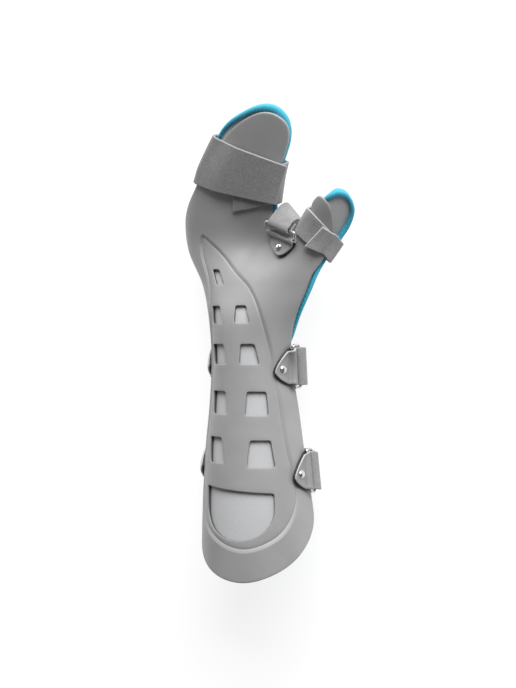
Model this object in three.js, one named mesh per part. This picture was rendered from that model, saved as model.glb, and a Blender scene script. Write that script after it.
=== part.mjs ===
// Wrist and hand resting splint: a moulded plastic sheet with cut windows, a bound foam pad under
// it, and five velour straps, four of them on wire rings held by riveted tabs.
// Millimetres. +X is the thumb side, +Y the fingertips, +Z the palm face. It lies on its straps,
// with the surface below it at z = 0.
import * as THREE from 'three';

// Walls, gaps and stock sizes
const GAP = 0.35;
const SEAT_GAP = 0.5;
const PAD_GAP = 1.1;
const BINDING_GAP = 1.5;
const SHELL_WALL = 3;
const PAD_WALL = 5;
const STRAP_WALL = 2;
const TAB_WALL = 1.2;
const BINDING_WIDTH = 5;
const BINDING_RISE = 2.4;
const BINDING_SWELL = 0.6;
const WIRE_RADIUS = 1;
const RING_OVERHANG = 2;
const RING_CORNER = 2;
const PANEL_RECESS = 1;
const PANEL_BEVEL = 2.6;
const WEB_STRAP_WIDTH = 21;
const FOREARM_STRAP_WIDTH = 28.5;
const RIVET_RADIUS = 3.2;
const RIVET_HEIGHT = 1.6;
const RIVET_LIP = 0.4;
const REST_SQUASH = 2.5;
const INNER_TURN = WIRE_RADIUS + SEAT_GAP;
const OUTER_TURN = WIRE_RADIUS + GAP + STRAP_WALL;

// Sections of the moulded sheet by their run along it. Each is two quarter ellipses that meet at the
// crown: half width A and depth B to the ulnar (little finger) side and to the radial side.
const STATION_COLUMNS = ['run', 'planY', 'crownX', 'crownZ', 'ulnarA', 'ulnarB', 'radialA', 'radialB'];
const STATIONS = [
  [-180, -180, 4.5, 83, 47, 47, 47, 47],
  [-130, -130, 2.5, 81, 44, 44, 44, 44],
  [-80, -80, -0.5, 76, 39, 39, 39, 39],
  [-45, -45, -1, 72, 35.5, 35.5, 35.5, 35.5],
  [-8, -8, -3, 68.5, 32.5, 32.5, 34, 31],
  [22, 22, -5.5, 64.5, 33.5, 29, 50, 28],
  [45, 45.1, -7.3, 57, 39.5, 27, 76, 24],
  [75, 75.2, -10.3, 50, 52.5, 25, 104, 16],
  [100, 99.1, -7.2, 55, 54.5, 22, 116, 10],
  [130, 128, 0.3, 66, 47, 16, 90, 14],
  [155, 152.4, 14.7, 76, 47, 14, 60, 14],
  [180, 177, 26.2, 86, 47, 14, 60, 14],
];

// Ridge that the ball of the thumb raises: its axis in plan, and its height and half width along it
const THUMB_BASE = new THREE.Vector2(16, 34);
const THUMB_TIP = new THREE.Vector2(70, 112);
const RIDGE_COLUMNS = ['share', 'height', 'halfWidth'];
const RIDGE = [
  [-0.7, 0, 20],
  [-0.2, 2.5, 20],
  [0.35, 11, 21],
  [0.8, 17, 21],
  [1.3, 18, 21],
];

// Hollow of the palm: its middle in plan, its reach across and along, and its depth
const HOLLOW = { x: 2, y: 76, across: 20, along: 20, depth: 5 };

// Outlines on the developed sheet: distance round the section from the crown line, then the run.
// Both run from the little finger edge down that side, round the elbow end and up the thumb side.
const SHELL_OUTLINE = [
  // little finger edge
  [-41, 136], [-48.5, 122], [-66, 107], [-82, 90], [-86, 74], [-78, 59], [-64, 38], [-58, 10], [-59, -17],
  [-60.5, -31], [-63, -55], [-69, -85], [-71, -111],
  // elbow end
  [-66, -132], [-50, -153], [-26, -168], [2, -173], [28, -166], [51, -152], [68, -132], [67.5, -112],
  // thumb edge
  [65.5, -97], [60, -72], [50.5, -33], [47, -10], [48, 6], [52.5, 22], [64, 49], [78, 64], [85.5, 78],
  [84.5, 95.5],
  // thumb tip and web
  [79.5, 102.5], [72, 106.8], [66.5, 103], [64, 95.5], [57.5, 88], [53, 80], [46, 80], [36, 86], [28, 92],
  // finger pan
  [26, 103], [30, 128], [26, 155], [15, 165], [0, 169], [-17, 163], [-31, 150],
];
const PAD_OUTLINE = [
  // little finger edge
  [-46, 140], [-50, 123], [-64, 107], [-76, 88], [-76, 62], [-60, 38], [-54, 10], [-56, -17],
  [-59, -50], [-65, -85], [-67, -110],
  // elbow end
  [-62, -132], [-46, -149], [-22, -162], [2, -166], [26, -160], [47, -147], [62, -129], [64, -114],
  // thumb edge
  [61, -98], [56, -72], [48, -35], [47, -14], [52, 0], [56.5, 10], [61, 22], [70, 47], [81, 61], [95, 74.5],
  // thumb tip and web
  [103.5, 84.5], [107, 96], [101.5, 106.8], [91, 109.3], [81.5, 106.8], [73, 103.5], [67, 96.5], [59.5, 86],
  [53.5, 77.5], [46, 77.5], [37, 83.5], [29.6, 91],
  // finger pan
  [27.2, 103], [29.8, 125], [29, 148], [22, 162], [9, 171.5], [-3, 174], [-17, 171], [-35, 162],
];
const PANEL_OUTLINE = [
  [-35, 85], [-38.5, 79], [-38, 68], [-34, 51], [-33, 34], [-36, 0], [-40, -35], [-46, -75],
  [-50, -108], [-41, -130], [-24, -144], [3, -151.5], [29, -143], [42, -131], [49, -117], [50, -104],
  [41, -74], [34, -41], [27, 1], [20, 29], [12, 43], [0, 55], [-12, 69], [-22, 77.5],
];

// Windows in the panel: the y of the finger end and of the elbow end, and the span at each
const WINDOW_COLUMNS = ['upperY', 'lowerY', 'upperFrom', 'upperTo', 'lowerFrom', 'lowerTo'];
const WINDOWS = [
  [57, 45, -25.3, -17.9, -21.4, -13],
  [29, 15.5, -27.7, -16.5, -27.7, -13],
  [29, 15.5, -1.3, 8, -2, 11.2],
  [0, -15, -30, -13, -28.5, -10.2],
  [0, -15, 2.5, 13.7, 1, 16.9],
  [-35, -52, -29, -12.1, -28, -9.8],
  [-35, -52.5, 6.5, 21.6, 5, 23.5],
  [-69, -88, -30.4, -14.6, -28.7, -10.9],
  [-70.5, -90, 9.7, 25.9, 7.6, 29.7],
];
const WINDOW_CORNER = 2;
const END_WINDOW = { left: -33, right: 28.2, leftY: -105.3, rightY: -108.7, springY: -120, rise: 23 };

// Tabs with their rings: the developed place of the ring bar, the way from it to the rivet, how far
// the tab's point sits to one side, the ring's reach and its lean off the sheet in degrees
const TABS = [
  {
    name: 'palm', u: 40.3, y: 79, toRivet: [-0.36, -0.93],
    length: 15, halfWidth: 14, skew: 2.5, reach: 8, lean: 28,
  },
  {
    name: 'wrist_radial', u: 43, y: -17, toRivet: [-1, 0],
    length: 15.5, halfWidth: 14, skew: 4, reach: 6.6, lean: 7,
  },
  {
    name: 'wrist_ulnar', u: -57, y: -12.5, toRivet: [1, 0],
    length: 16, halfWidth: 14, skew: -4, reach: 6.6, lean: 0,
  },
  {
    name: 'forearm_radial', u: 59, y: -94.5, toRivet: [-1, 0],
    length: 15, halfWidth: 14, skew: 4, reach: 6.6, lean: 7,
  },
  {
    name: 'forearm_ulnar', u: -67, y: -90, toRivet: [1, 0],
    length: 16, halfWidth: 14, skew: -4, reach: 6.6, lean: 0,
  },
];
const RIVET_SHARE = 0.58;
const TAB_CURVE = 1.3;
const TAB_FULLNESS = 0.66;

// Strap lines on the sheet, as (u, y) at the elbow end, the middle and the finger end of the strap's
// width: the cut ends, and the edges that the strap turns round
const FINGER_LINES = {
  innerEnd: [[-5, 100.7], [-5, 115.2], [-5, 129.7]],
  firstEdge: [[27.6, 104.5], [29.6, 119], [30.2, 133.5]],
  secondEdge: [[-50.4, 125.3], [-46.8, 141.3], [-39.1, 156.8]],
  outerEnd: [[32.3, 104.2], [34.6, 118], [36.6, 131.8]],
};
const THUMB_LINES = {
  innerEnd: [[70, 67.5], [76.2, 75], [82.5, 82.5]],
  firstEdge: [[52.8, 81.1], [57.9, 89.6], [64.2, 98.3]],
  secondEdge: [[80.8, 60.2], [88.1, 67.1], [94.6, 73.7]],
  outerEnd: [[60.8, 71.5], [68.6, 79], [76.4, 86.5]],
};
// Section of a turn round an edge: distance out from it, then lift
const NEAR_TURN = [[-3, 0.35], [0, 0.25], [1, -1.8], [1.1, -5.5], [0.8, -9], [-1.2, -11], [-4.5, -11.7]];
const WIDE_TURN = [
  [-8, 0.5], [-4, 0], [-1, -0.7], [0.8, -2.4], [1.2, -5.5], [0.9, -9], [-1.1, -11], [-4.5, -11.7],
];
const FINGER_SAG = new THREE.Vector3(0, 4, -22);
const THUMB_SAG = new THREE.Vector3(0, 0, -18);
const SAG_POWER = 1.2;
// Web strap's way from its ring over the web, under the hand and up to the little finger edge
// (x, y, z of its middle, then the way across it)
const WEB_ROUTE = [
  [33.6, 95.2, 60, -0.68, 0.6, -0.42],
  [34.6, 97, 53, -0.65, 0.68, -0.32],
  [33, 95.6, 40, -0.66, 0.73, -0.15],
  [28.5, 90.5, 22, -0.68, 0.73, 0],
  [20, 82, 7, -0.7, 0.71, 0],
  [11, 73, 2, -0.71, 0.7, 0],
  [-4, 58, 2, -0.71, 0.7, 0],
  [-18, 44, 2, -0.7, 0.71, 0],
  [-29, 31.5, 5, -0.58, 0.81, 0],
  [-36, 21.5, 13, -0.3, 0.95, 0],
];
const WEB_END = { y: 16, fromDeg: -118, toDeg: -90, rivetDeg: -97 };
const LOOP_SQUARENESS = 1.9;

const materials = {
  shell: { color: 0x9a9b9b, roughness: 0.42, metalness: 0 },
  pad: { color: 0xc2c3c4, roughness: 0.95, metalness: 0 },
  binding: { color: 0x48adcf, roughness: 0.85, metalness: 0 },
  strap: { color: 0x7d7d7d, roughness: 0.95, metalness: 0 },
  tab: { color: 0x949595, roughness: 0.55, metalness: 0 },
  metal: { color: 0xc9cbcd, roughness: 0.22, metalness: 1 },
};

const splint = new THREE.Group();

function addPiece(name, geometry, material) {
  const mesh = new THREE.Mesh(geometry, new THREE.MeshStandardMaterial(materials[material]));
  mesh.name = name;
  splint.add(mesh);
  return mesh;
}

// Smooth reading of a table by its first column
function tableReader(columns, rows) {
  const at = rows.map((row) => row[0]);
  const slopes = columns.map((_, k) => columnSlopes(at, rows.map((row) => row[k])));
  return (where) => {
    const x = THREE.MathUtils.clamp(where, at[0], at[at.length - 1]);
    let i = 0;
    while (i < at.length - 2 && x > at[i + 1]) i += 1;
    const step = at[i + 1] - at[i];
    const t = (x - at[i]) / step;
    const result = {};
    columns.forEach((name, k) => {
      const startPart = (1 + 2 * t) * (1 - t) ** 2 * rows[i][k] + t * (1 - t) ** 2 * step * slopes[k][i];
      const endPart = t * t * (3 - 2 * t) * rows[i + 1][k] + t * t * (t - 1) * step * slopes[k][i + 1];
      result[name] = startPart + endPart;
    });
    return result;
  };
}

function columnSlopes(at, values) {
  const last = at.length - 1;
  const chord = (i) => (values[i + 1] - values[i]) / (at[i + 1] - at[i]);
  return at.map((_, i) => {
    if (i === 0) return chord(0);
    if (i === last) return chord(last - 1);
    const before = at[i] - at[i - 1];
    const after = at[i + 1] - at[i];
    return (chord(i - 1) * after + chord(i) * before) / (before + after);
  });
}

const station = tableReader(STATION_COLUMNS, STATIONS);
const ridgeAt = tableReader(RIDGE_COLUMNS, RIDGE);

function thumbRidge(x, y) {
  const axis = THUMB_TIP.clone().sub(THUMB_BASE);
  const length = axis.length();
  axis.divideScalar(length);
  const from = new THREE.Vector2(x, y).sub(THUMB_BASE);
  const { height, halfWidth } = ridgeAt(from.dot(axis) / length);
  return height * Math.exp(-((from.cross(axis) / halfWidth) ** 2));
}

function palmHollow(x, y) {
  const across = (x - HOLLOW.x) / HOLLOW.across;
  const along = (y - HOLLOW.y) / HOLLOW.along;
  return HOLLOW.depth * Math.exp(-(across ** 2) - along ** 2);
}

// Outer face of the moulded sheet at a developed distance u from the crown line and a run y along it
function sheetPoint(u, y) {
  const s = station(y);
  const a = u < 0 ? s.ulnarA : s.radialA;
  const b = u < 0 ? s.ulnarB : s.radialB;
  const x = s.crownX + a * Math.sin(u / a);
  const z = s.crownZ - b * (1 - Math.cos(u / a)) + thumbRidge(x, y) - palmHollow(x, y);
  return new THREE.Vector3(x, s.planY, z);
}

function sheetNormal(u, y) {
  const step = 0.05;
  const around = sheetPoint(u + step, y).sub(sheetPoint(u - step, y));
  const along = sheetPoint(u, y + step).sub(sheetPoint(u, y - step));
  return around.cross(along).normalize();
}

// A point off the sheet along its outward normal
function liftedPoint(u, y, lift) {
  return sheetPoint(u, y).addScaledVector(sheetNormal(u, y), lift);
}

// A point on the little finger flank by its turn round the section
function flankPoint(turned, y, lift) {
  return liftedPoint(turned * station(y).ulnarA, y, lift);
}

// Flat loops on the developed sheet
function smoothLoop(points, spacing) {
  const corners = points.map(([u, y]) => new THREE.Vector3(u, y, 0));
  const curve = new THREE.CatmullRomCurve3(corners, true, 'centripetal');
  const count = Math.round(curve.getLength() / spacing);
  return curve.getSpacedPoints(count).slice(0, count).map((p) => new THREE.Vector2(p.x, p.y));
}

function insetLoop(loop, distance) {
  return loop.map((point, i) => {
    const next = loop[(i + 1) % loop.length];
    const before = loop[(i + loop.length - 1) % loop.length];
    const way = next.clone().sub(before).normalize();
    return new THREE.Vector2(point.x - way.y * distance, point.y + way.x * distance);
  });
}

function roundedCorners(corners, radius, spacing) {
  const cornerSteps = 3;
  const loop = [];
  corners.forEach((corner, i) => {
    const before = corners[(i + corners.length - 1) % corners.length];
    const after = corners[(i + 1) % corners.length];
    const arcStart = corner.clone().add(before.clone().sub(corner).setLength(radius));
    const arcEnd = corner.clone().add(after.clone().sub(corner).setLength(radius));
    const arc = new THREE.QuadraticBezierCurve(arcStart, corner, arcEnd);
    loop.push(...arc.getPoints(cornerSteps));
    const nextStart = after.clone().add(corner.clone().sub(after).setLength(radius));
    const edge = new THREE.LineCurve(arcEnd, nextStart);
    const steps = Math.ceil(edge.getLength() / spacing);
    loop.push(...edge.getPoints(steps).slice(1, -1));
  });
  return loop;
}

function windowLoop(row, spacing) {
  const w = Object.fromEntries(WINDOW_COLUMNS.map((name, k) => [name, row[k]]));
  const corners = [
    new THREE.Vector2(w.upperFrom, w.upperY),
    new THREE.Vector2(w.lowerFrom, w.lowerY),
    new THREE.Vector2(w.lowerTo, w.lowerY),
    new THREE.Vector2(w.upperTo, w.upperY),
  ];
  return roundedCorners(corners, WINDOW_CORNER, spacing);
}

function endWindowLoop(spacing) {
  const { left, right, leftY, rightY, springY, rise } = END_WINDOW;
  const arcSteps = 14;
  const corners = [new THREE.Vector2(right, rightY), new THREE.Vector2(left, leftY)];
  for (let i = 0; i <= arcSteps; i += 1) {
    const turn = Math.PI * (1 + i / arcSteps);
    const across = (left + right) / 2 + (Math.cos(turn) * (right - left)) / 2;
    corners.push(new THREE.Vector2(across, springY + Math.sin(turn) * rise));
  }
  return roundedCorners(corners, WINDOW_CORNER, spacing);
}

function isInside(point, loop) {
  let inside = false;
  loop.forEach((a, i) => {
    const b = loop[(i + 1) % loop.length];
    const crosses = a.y > point.y !== b.y > point.y;
    if (crosses && point.x < ((b.x - a.x) * (point.y - a.y)) / (b.y - a.y) + a.x) inside = !inside;
  });
  return inside;
}

function distanceTo(point, loop) {
  const nearest = new THREE.Vector2();
  let best = Infinity;
  loop.forEach((a, i) => {
    const edge = loop[(i + 1) % loop.length].clone().sub(a);
    const share = THREE.MathUtils.clamp(point.clone().sub(a).dot(edge) / edge.lengthSq(), 0, 1);
    nearest.copy(a).addScaledVector(edge, share);
    best = Math.min(best, nearest.distanceTo(point));
  });
  return best;
}

// Triangles of a flat set of points, each circle through a triangle holding no other point
function flatTriangles(points) {
  const far = 5000;
  const outer = [[-far, -far], [far, -far], [0, far]].map(([x, y]) => new THREE.Vector2(x, y));
  const all = [...points, ...outer];
  let triangles = [circled(all, points.length, points.length + 1, points.length + 2)];
  points.forEach((point, index) => {
    const rim = new Map();
    triangles = triangles.filter((triangle) => {
      if (point.distanceToSquared(triangle.centre) >= triangle.radiusSq) return true;
      triangle.corners.forEach((a, k) => {
        const b = triangle.corners[(k + 1) % 3];
        const twin = `${b},${a}`;
        if (rim.has(twin)) rim.delete(twin);
        else rim.set(`${a},${b}`, [a, b]);
      });
      return false;
    });
    rim.forEach(([a, b]) => triangles.push(circled(all, a, b, index)));
  });
  const corners = triangles.map((triangle) => triangle.corners);
  return corners.filter((indices) => Math.max(...indices) < points.length);
}

function circled(points, i, j, k) {
  const [a, b, c] = [points[i], points[j], points[k]];
  const ab = b.clone().sub(a);
  const ac = c.clone().sub(a);
  const scale = 2 * ab.cross(ac);
  const x = (ac.y * ab.lengthSq() - ab.y * ac.lengthSq()) / scale;
  const y = (ab.x * ac.lengthSq() - ac.x * ab.lengthSq()) / scale;
  return { corners: [i, j, k], centre: new THREE.Vector2(a.x + x, a.y + y), radiusSq: x * x + y * y };
}

// A wall of triangles between two faces that share their numbering, closed round every free edge
function closedWall(triangles, top, bottom) {
  const index = [];
  const free = new Map();
  const count = top.length;
  triangles.forEach(([a, b, c]) => {
    index.push(a, b, c, count + a, count + c, count + b);
    [[a, b], [b, c], [c, a]].forEach(([from, to]) => {
      if (free.has(`${to},${from}`)) free.delete(`${to},${from}`);
      else free.set(`${from},${to}`, [from, to]);
    });
  });
  free.forEach(([from, to]) => index.push(to, from, count + from, to, count + from, count + to));
  const used = [...new Set(index)];
  const place = new Map(used.map((old, i) => [old, i]));
  const vertices = [...top, ...bottom];
  const geometry = new THREE.BufferGeometry();
  const flat = used.flatMap((old) => vertices[old].toArray());
  geometry.setAttribute('position', new THREE.Float32BufferAttribute(flat, 3));
  geometry.setIndex(index.map((old) => place.get(old)));
  geometry.computeVertexNormals();
  return geometry;
}

// A piece of the sheet cut to an outline with holes, between two lifts given as functions
function cutSheet({ outline, holes = [], guides = [], spacing, topLift, bottomLift }) {
  const rims = [outline, ...holes];
  const points = rims.flat();
  const clearance = 0.55 * spacing;
  const keeps = (p) => isInside(p, outline) && !holes.some((hole) => isInside(p, hole));
  guides.flat().forEach((p) => {
    if (keeps(p) && rims.every((rim) => distanceTo(p, rim) > PANEL_BEVEL)) points.push(p);
  });
  const rowStep = spacing * Math.sin(Math.PI / 3);
  const box = new THREE.Box2().setFromPoints(outline);
  for (let row = 0; box.min.y + row * rowStep < box.max.y; row += 1) {
    for (let x = box.min.x + (row % 2) * spacing * 0.5; x < box.max.x; x += spacing) {
      const p = new THREE.Vector2(x, box.min.y + row * rowStep);
      if (keeps(p) && points.every((q) => q.distanceTo(p) > clearance)) points.push(p);
    }
  }
  const triangles = flatTriangles(points).filter((corners) => {
    const middle = new THREE.Vector2();
    corners.forEach((i) => middle.addScaledVector(points[i], 1 / 3));
    return keeps(middle);
  });
  const top = points.map((p) => liftedPoint(p.x, p.y, topLift(p)));
  const bottom = points.map((p) => liftedPoint(p.x, p.y, bottomLift(p)));
  return closedWall(triangles, top, bottom);
}

// A strip through rows of points, thickened to the side that along x across gives
function ribbon(rows, wall) {
  const across = rows[0].length;
  const top = [];
  const triangles = [];
  rows.forEach((row, i) => row.forEach((point, j) => {
    const next = rows[Math.min(i + 1, rows.length - 1)][j];
    const along = next.clone().sub(rows[Math.max(i - 1, 0)][j]);
    const side = row[Math.min(j + 1, across - 1)].clone().sub(row[Math.max(j - 1, 0)]);
    top.push(point.clone().addScaledVector(along.cross(side).normalize(), wall));
    if (i + 1 < rows.length && j + 1 < across) {
      const corner = i * across + j;
      const opposite = corner + across + 1;
      triangles.push([corner, corner + across, opposite], [corner, opposite, corner + 1]);
    }
  }));
  return closedWall(triangles, top, rows.flat());
}

function spread(count) {
  return Array.from({ length: count + 1 }, (_, i) => i / count);
}

// Half loop from one point to another that hangs a depth below them, squarer than an ellipse
function hangingLoop(from, to, down, share) {
  const turn = Math.PI * share;
  const power = 2 / LOOP_SQUARENESS;
  const sideways = Math.sign(Math.cos(turn)) * Math.abs(Math.cos(turn)) ** power;
  const point = from.clone().add(to).multiplyScalar(0.5);
  point.addScaledVector(from.clone().sub(to), sideways / 2);
  return point.addScaledVector(down, Math.sin(turn) ** power);
}

// Frame of a tab: the ring bar's middle, the ways along it and to the rivet, the sheet's normal, and
// the ring's own reach and rise, which lean off the sheet
function tabFrame(tab) {
  const { u, y, toRivet, halfWidth } = tab;
  const seat = sheetPoint(u, y);
  const barEnd = (off) => sheetPoint(u - toRivet[1] * off, y + toRivet[0] * off);
  const along = barEnd(halfWidth).sub(barEnd(-halfWidth)).normalize();
  const toward = sheetPoint(u + toRivet[0], y + toRivet[1]).sub(seat);
  toward.addScaledVector(along, -toward.dot(along)).normalize();
  const normal = toward.clone().cross(along);
  const bumps = [-1, -0.5, 0, 0.5, 1].map((side) => barEnd(side * halfWidth).sub(seat).dot(normal));
  const hollow = Math.max(...bumps);
  const barLift = SEAT_GAP + TAB_WALL + GAP + WIRE_RADIUS + hollow;
  const bar = seat.addScaledVector(normal, barLift);
  const lean = THREE.MathUtils.degToRad(tab.lean);
  const reach = toward.clone().multiplyScalar(-Math.cos(lean)).addScaledVector(normal, Math.sin(lean));
  const rise = along.clone().cross(reach);
  return { bar, along, toward, normal, barLift, reach, rise };
}

// A place on the developed sheet by its share of the way from the ring bar to the tab's point
function tabPlace(tab, share, off) {
  const away = share * tab.length;
  const aside = off + tab.skew * share ** TAB_CURVE;
  return [
    tab.u + tab.toRivet[0] * away - tab.toRivet[1] * aside,
    tab.y + tab.toRivet[1] * away + tab.toRivet[0] * aside,
  ];
}

// Tab: a pick-shaped strip folded round the ring bar, both layers lying on the sheet
function tabGeometry(tab) {
  const frame = tabFrame(tab);
  const turnRadius = WIRE_RADIUS + GAP + TAB_WALL;
  const flatShares = [1, 0.93, 0.75, 0.4];
  const firstShare = 0.2;
  const apex = 0.02;
  const sides = [1, 0.7, 0.34, -0.34, -0.7, -1];
  const settle = 0.42 * tab.length;
  const layer = (share, lift) => sides.map((side) => {
    const half = tab.halfWidth * (1 + apex - share ** TAB_CURVE) ** TAB_FULLNESS;
    return liftedPoint(...tabPlace(tab, share, side * half), lift);
  });
  const turn = spread(6).map((share) => sides.map((side) => {
    const angle = Math.PI * share;
    const point = frame.bar.clone().addScaledVector(frame.along, side * tab.halfWidth);
    point.addScaledVector(frame.normal, -turnRadius * Math.cos(angle));
    return point.addScaledVector(frame.toward, -turnRadius * Math.sin(angle));
  }));
  const topLift = (share) => {
    const raised = 1 - THREE.MathUtils.smoothstep(share * tab.length, 0, settle);
    const flat = SEAT_GAP + 2 * TAB_WALL + GAP;
    return flat + (frame.barLift + turnRadius - flat) * raised;
  };
  const lower = flatShares.map((share) => layer(share, SEAT_GAP));
  const upper = [firstShare, ...[...flatShares].reverse()].map((share) => layer(share, topLift(share)));
  return ribbon([...lower, ...turn, ...upper], TAB_WALL);
}

// Ring: a closed rounded rectangle of wire, one long bar in the tab's fold and one for the strap
function ringGeometry(tab) {
  const frame = tabFrame(tab);
  const halfLength = tab.halfWidth + RING_OVERHANG;
  const cornerSteps = 3;
  const wireSides = 6;
  const centre = frame.bar.clone().addScaledVector(frame.reach, tab.reach / 2);
  const loop = [];
  [[1, 1], [-1, 1], [-1, -1], [1, -1]].forEach(([a, b], quarter) => {
    spread(cornerSteps).forEach((share) => {
      const angle = (quarter + share) * Math.PI * 0.5;
      loop.push([
        a * (halfLength - RING_CORNER) + RING_CORNER * Math.cos(angle),
        b * (tab.reach / 2 - RING_CORNER) + RING_CORNER * Math.sin(angle),
      ]);
    });
  });
  const positions = [];
  const index = [];
  loop.forEach(([l, w], i) => {
    const [nextL, nextW] = loop[(i + 1) % loop.length];
    const [beforeL, beforeW] = loop[(i + loop.length - 1) % loop.length];
    const outward = new THREE.Vector2(nextW - beforeW, beforeL - nextL).normalize();
    for (let k = 0; k < wireSides; k += 1) {
      const angle = (2 * Math.PI * k) / wireSides;
      const out = WIRE_RADIUS * Math.cos(angle);
      const point = centre.clone().addScaledVector(frame.along, l + outward.x * out);
      point.addScaledVector(frame.reach, -w - outward.y * out);
      point.addScaledVector(frame.rise, WIRE_RADIUS * Math.sin(angle));
      positions.push(...point.toArray());
      const a = i * wireSides + k;
      const b = i * wireSides + ((k + 1) % wireSides);
      const shift = (((i + 1) % loop.length) - i) * wireSides;
      index.push(a, b, b + shift, a, b + shift, a + shift);
    }
  });
  const geometry = new THREE.BufferGeometry();
  geometry.setAttribute('position', new THREE.Float32BufferAttribute(positions, 3));
  geometry.setIndex(index);
  geometry.computeVertexNormals();
  return geometry;
}

// Rivet: a domed head on a flat seat
function rivetGeometry() {
  const segments = 10;
  const profile = [new THREE.Vector2(0, 0), new THREE.Vector2(RIVET_RADIUS, 0)];
  spread(3).forEach((share) => {
    const angle = share * Math.PI * 0.5;
    const height = RIVET_LIP + (RIVET_HEIGHT - RIVET_LIP) * Math.sin(angle);
    profile.push(new THREE.Vector2(RIVET_RADIUS * Math.cos(angle), height));
  });
  profile[profile.length - 1].x = 0;
  return new THREE.LatheGeometry(profile, segments);
}

function seatRivet(name, u, y, lift) {
  const rivet = addPiece(name, rivetGeometry(), 'metal');
  rivet.position.copy(liftedPoint(u, y, lift));
  rivet.quaternion.setFromUnitVectors(new THREE.Vector3(0, 1, 0), sheetNormal(u, y));
}

// Places on the developed sheet along a line through three points, at sides from -1 to 1
function linePlaces([low, middle, high], sides) {
  return sides.map((side) => [0, 1].map((k) => {
    const ends = (low[k] * side * (side - 1) + high[k] * side * (side + 1)) / 2;
    return ends + middle[k] * (1 - side ** 2);
  }));
}

// Places a distance out from an edge line, to the right of its way or to the left
function placesOut(line, sides, toRight, distance) {
  const [low, , high] = line.map((place) => new THREE.Vector2(...place));
  const out = high.sub(low).setLength(toRight * distance);
  return linePlaces(line, sides).map(([u, y]) => [u + out.y, y - out.x]);
}

function turnRows(line, sides, toRight, section) {
  return section.map(([distance, lift]) => (
    placesOut(line, sides, toRight, distance).map((place) => liftedPoint(...place, lift))));
}

function mixedRow(from, to, share, lift) {
  return from.map(([u, y], j) => liftedPoint(
    THREE.MathUtils.lerp(u, to[j][0], share), THREE.MathUtils.lerp(y, to[j][1], share), lift));
}

// Wrapped strap: an inner layer, a turn under one edge, a hanging run, a turn over the other edge
// and an outer layer that ends over the inner one
function wrappedRows({ lines, sides, firstSide, turns, sag }) {
  const [firstSection, secondSection] = turns;
  const firstTurn = turnRows(lines.firstEdge, sides, firstSide, firstSection);
  const secondTurn = turnRows(lines.secondEdge, sides, -firstSide, secondSection).reverse();
  const firstSeat = placesOut(lines.firstEdge, sides, firstSide, firstSection[0][0]);
  const secondSeat = placesOut(lines.secondEdge, sides, -firstSide, secondSection[0][0]);
  const innerEnd = linePlaces(lines.innerEnd, sides);
  const outerEnd = linePlaces(lines.outerEnd, sides);
  const inner = spread(7).slice(0, -1).map((share) => mixedRow(innerEnd, firstSeat, share, GAP));
  const settled = 0.25;
  const rampFrom = 0.08;
  const rampTo = 0.42;
  const outer = spread(14).slice(1).map((share) => {
    const seatLift = THREE.MathUtils.lerp(secondSection[0][1], GAP, Math.min(1, share / settled));
    const overInner = (STRAP_WALL + GAP) * THREE.MathUtils.smoothstep(share, rampFrom, rampTo);
    return mixedRow(secondSeat, outerEnd, share, seatLift + overInner);
  });
  const hanging = spread(12).slice(1, -1).map((share) => firstTurn[firstTurn.length - 1].map((from, j) => {
    const point = from.clone().lerp(secondTurn[0][j], share);
    return point.addScaledVector(sag, Math.sin(Math.PI * share) ** SAG_POWER);
  }));
  return [...inner, ...firstTurn, ...hanging, ...secondTurn, ...outer];
}

function fingerStrapGeometry() {
  const rows = wrappedRows({
    lines: FINGER_LINES,
    sides: [-1, -0.33, 0.33, 1],
    firstSide: 1,
    turns: [NEAR_TURN, NEAR_TURN],
    sag: FINGER_SAG,
  });
  return ribbon(rows, STRAP_WALL);
}

function thumbStrapGeometry() {
  const rows = wrappedRows({
    lines: THUMB_LINES,
    sides: [1, 0.33, -0.33, -1],
    firstSide: -1,
    turns: [NEAR_TURN, WIDE_TURN],
    sag: THUMB_SAG,
  });
  return ribbon(rows, STRAP_WALL);
}

// Turn of a strap round a ring bar, and its short return over the run that it comes from
function strapTurn({ bar, rise, reach }, radius, shares) {
  return shares.map((share) => {
    const angle = Math.PI * share;
    const point = bar.clone().addScaledVector(rise, -radius * Math.cos(angle));
    return point.addScaledVector(reach, -radius * Math.sin(angle));
  });
}

function strapBar(tab, offset) {
  const frame = tabFrame(tab);
  const bar = frame.bar.clone().addScaledVector(frame.reach, tab.reach);
  return { ...frame, bar: bar.addScaledVector(frame.along, offset) };
}

// A strap's inner face no lower than its own wall above the surface that it rests on
function onFloor(point) {
  point.z = Math.max(point.z, STRAP_WALL);
  return point;
}

// Forearm strap: a loop hung between two rings, each end turned round its bar and laid back
function forearmStrapGeometry(radialTab, ulnarTab) {
  const half = FOREARM_STRAP_WIDTH / 2;
  const columns = [-half, 0, half].map((offset) => {
    const radial = strapBar(radialTab, offset);
    const ulnar = strapBar(ulnarTab, -offset);
    const turnShares = spread(5);
    const radialTurn = strapTurn(radial, OUTER_TURN, turnShares);
    const ulnarTurn = strapTurn(ulnar, OUTER_TURN, turnShares);
    const from = ulnarTurn[0];
    const to = radialTurn[0];
    const down = new THREE.Vector3(0, 0, STRAP_WALL - REST_SQUASH - (from.z + to.z) / 2);
    const run = spread(26).slice(1, -1).map((share) => onFloor(hangingLoop(from, to, down, share)));
    const ulnarReturn = laidBack(run, ulnarTurn[ulnarTurn.length - 1]).reverse();
    const radialReturn = laidBack([...run].reverse(), radialTurn[radialTurn.length - 1]);
    return [...ulnarReturn, ...ulnarTurn.reverse(), ...run, ...radialTurn, ...radialReturn];
  });
  const shortest = Math.min(...columns.map((column) => column.length));
  const rows = spread(shortest - 1).map((_, i) => columns.map((column) => column[i]));
  return ribbon(rows, STRAP_WALL);
}

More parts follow.
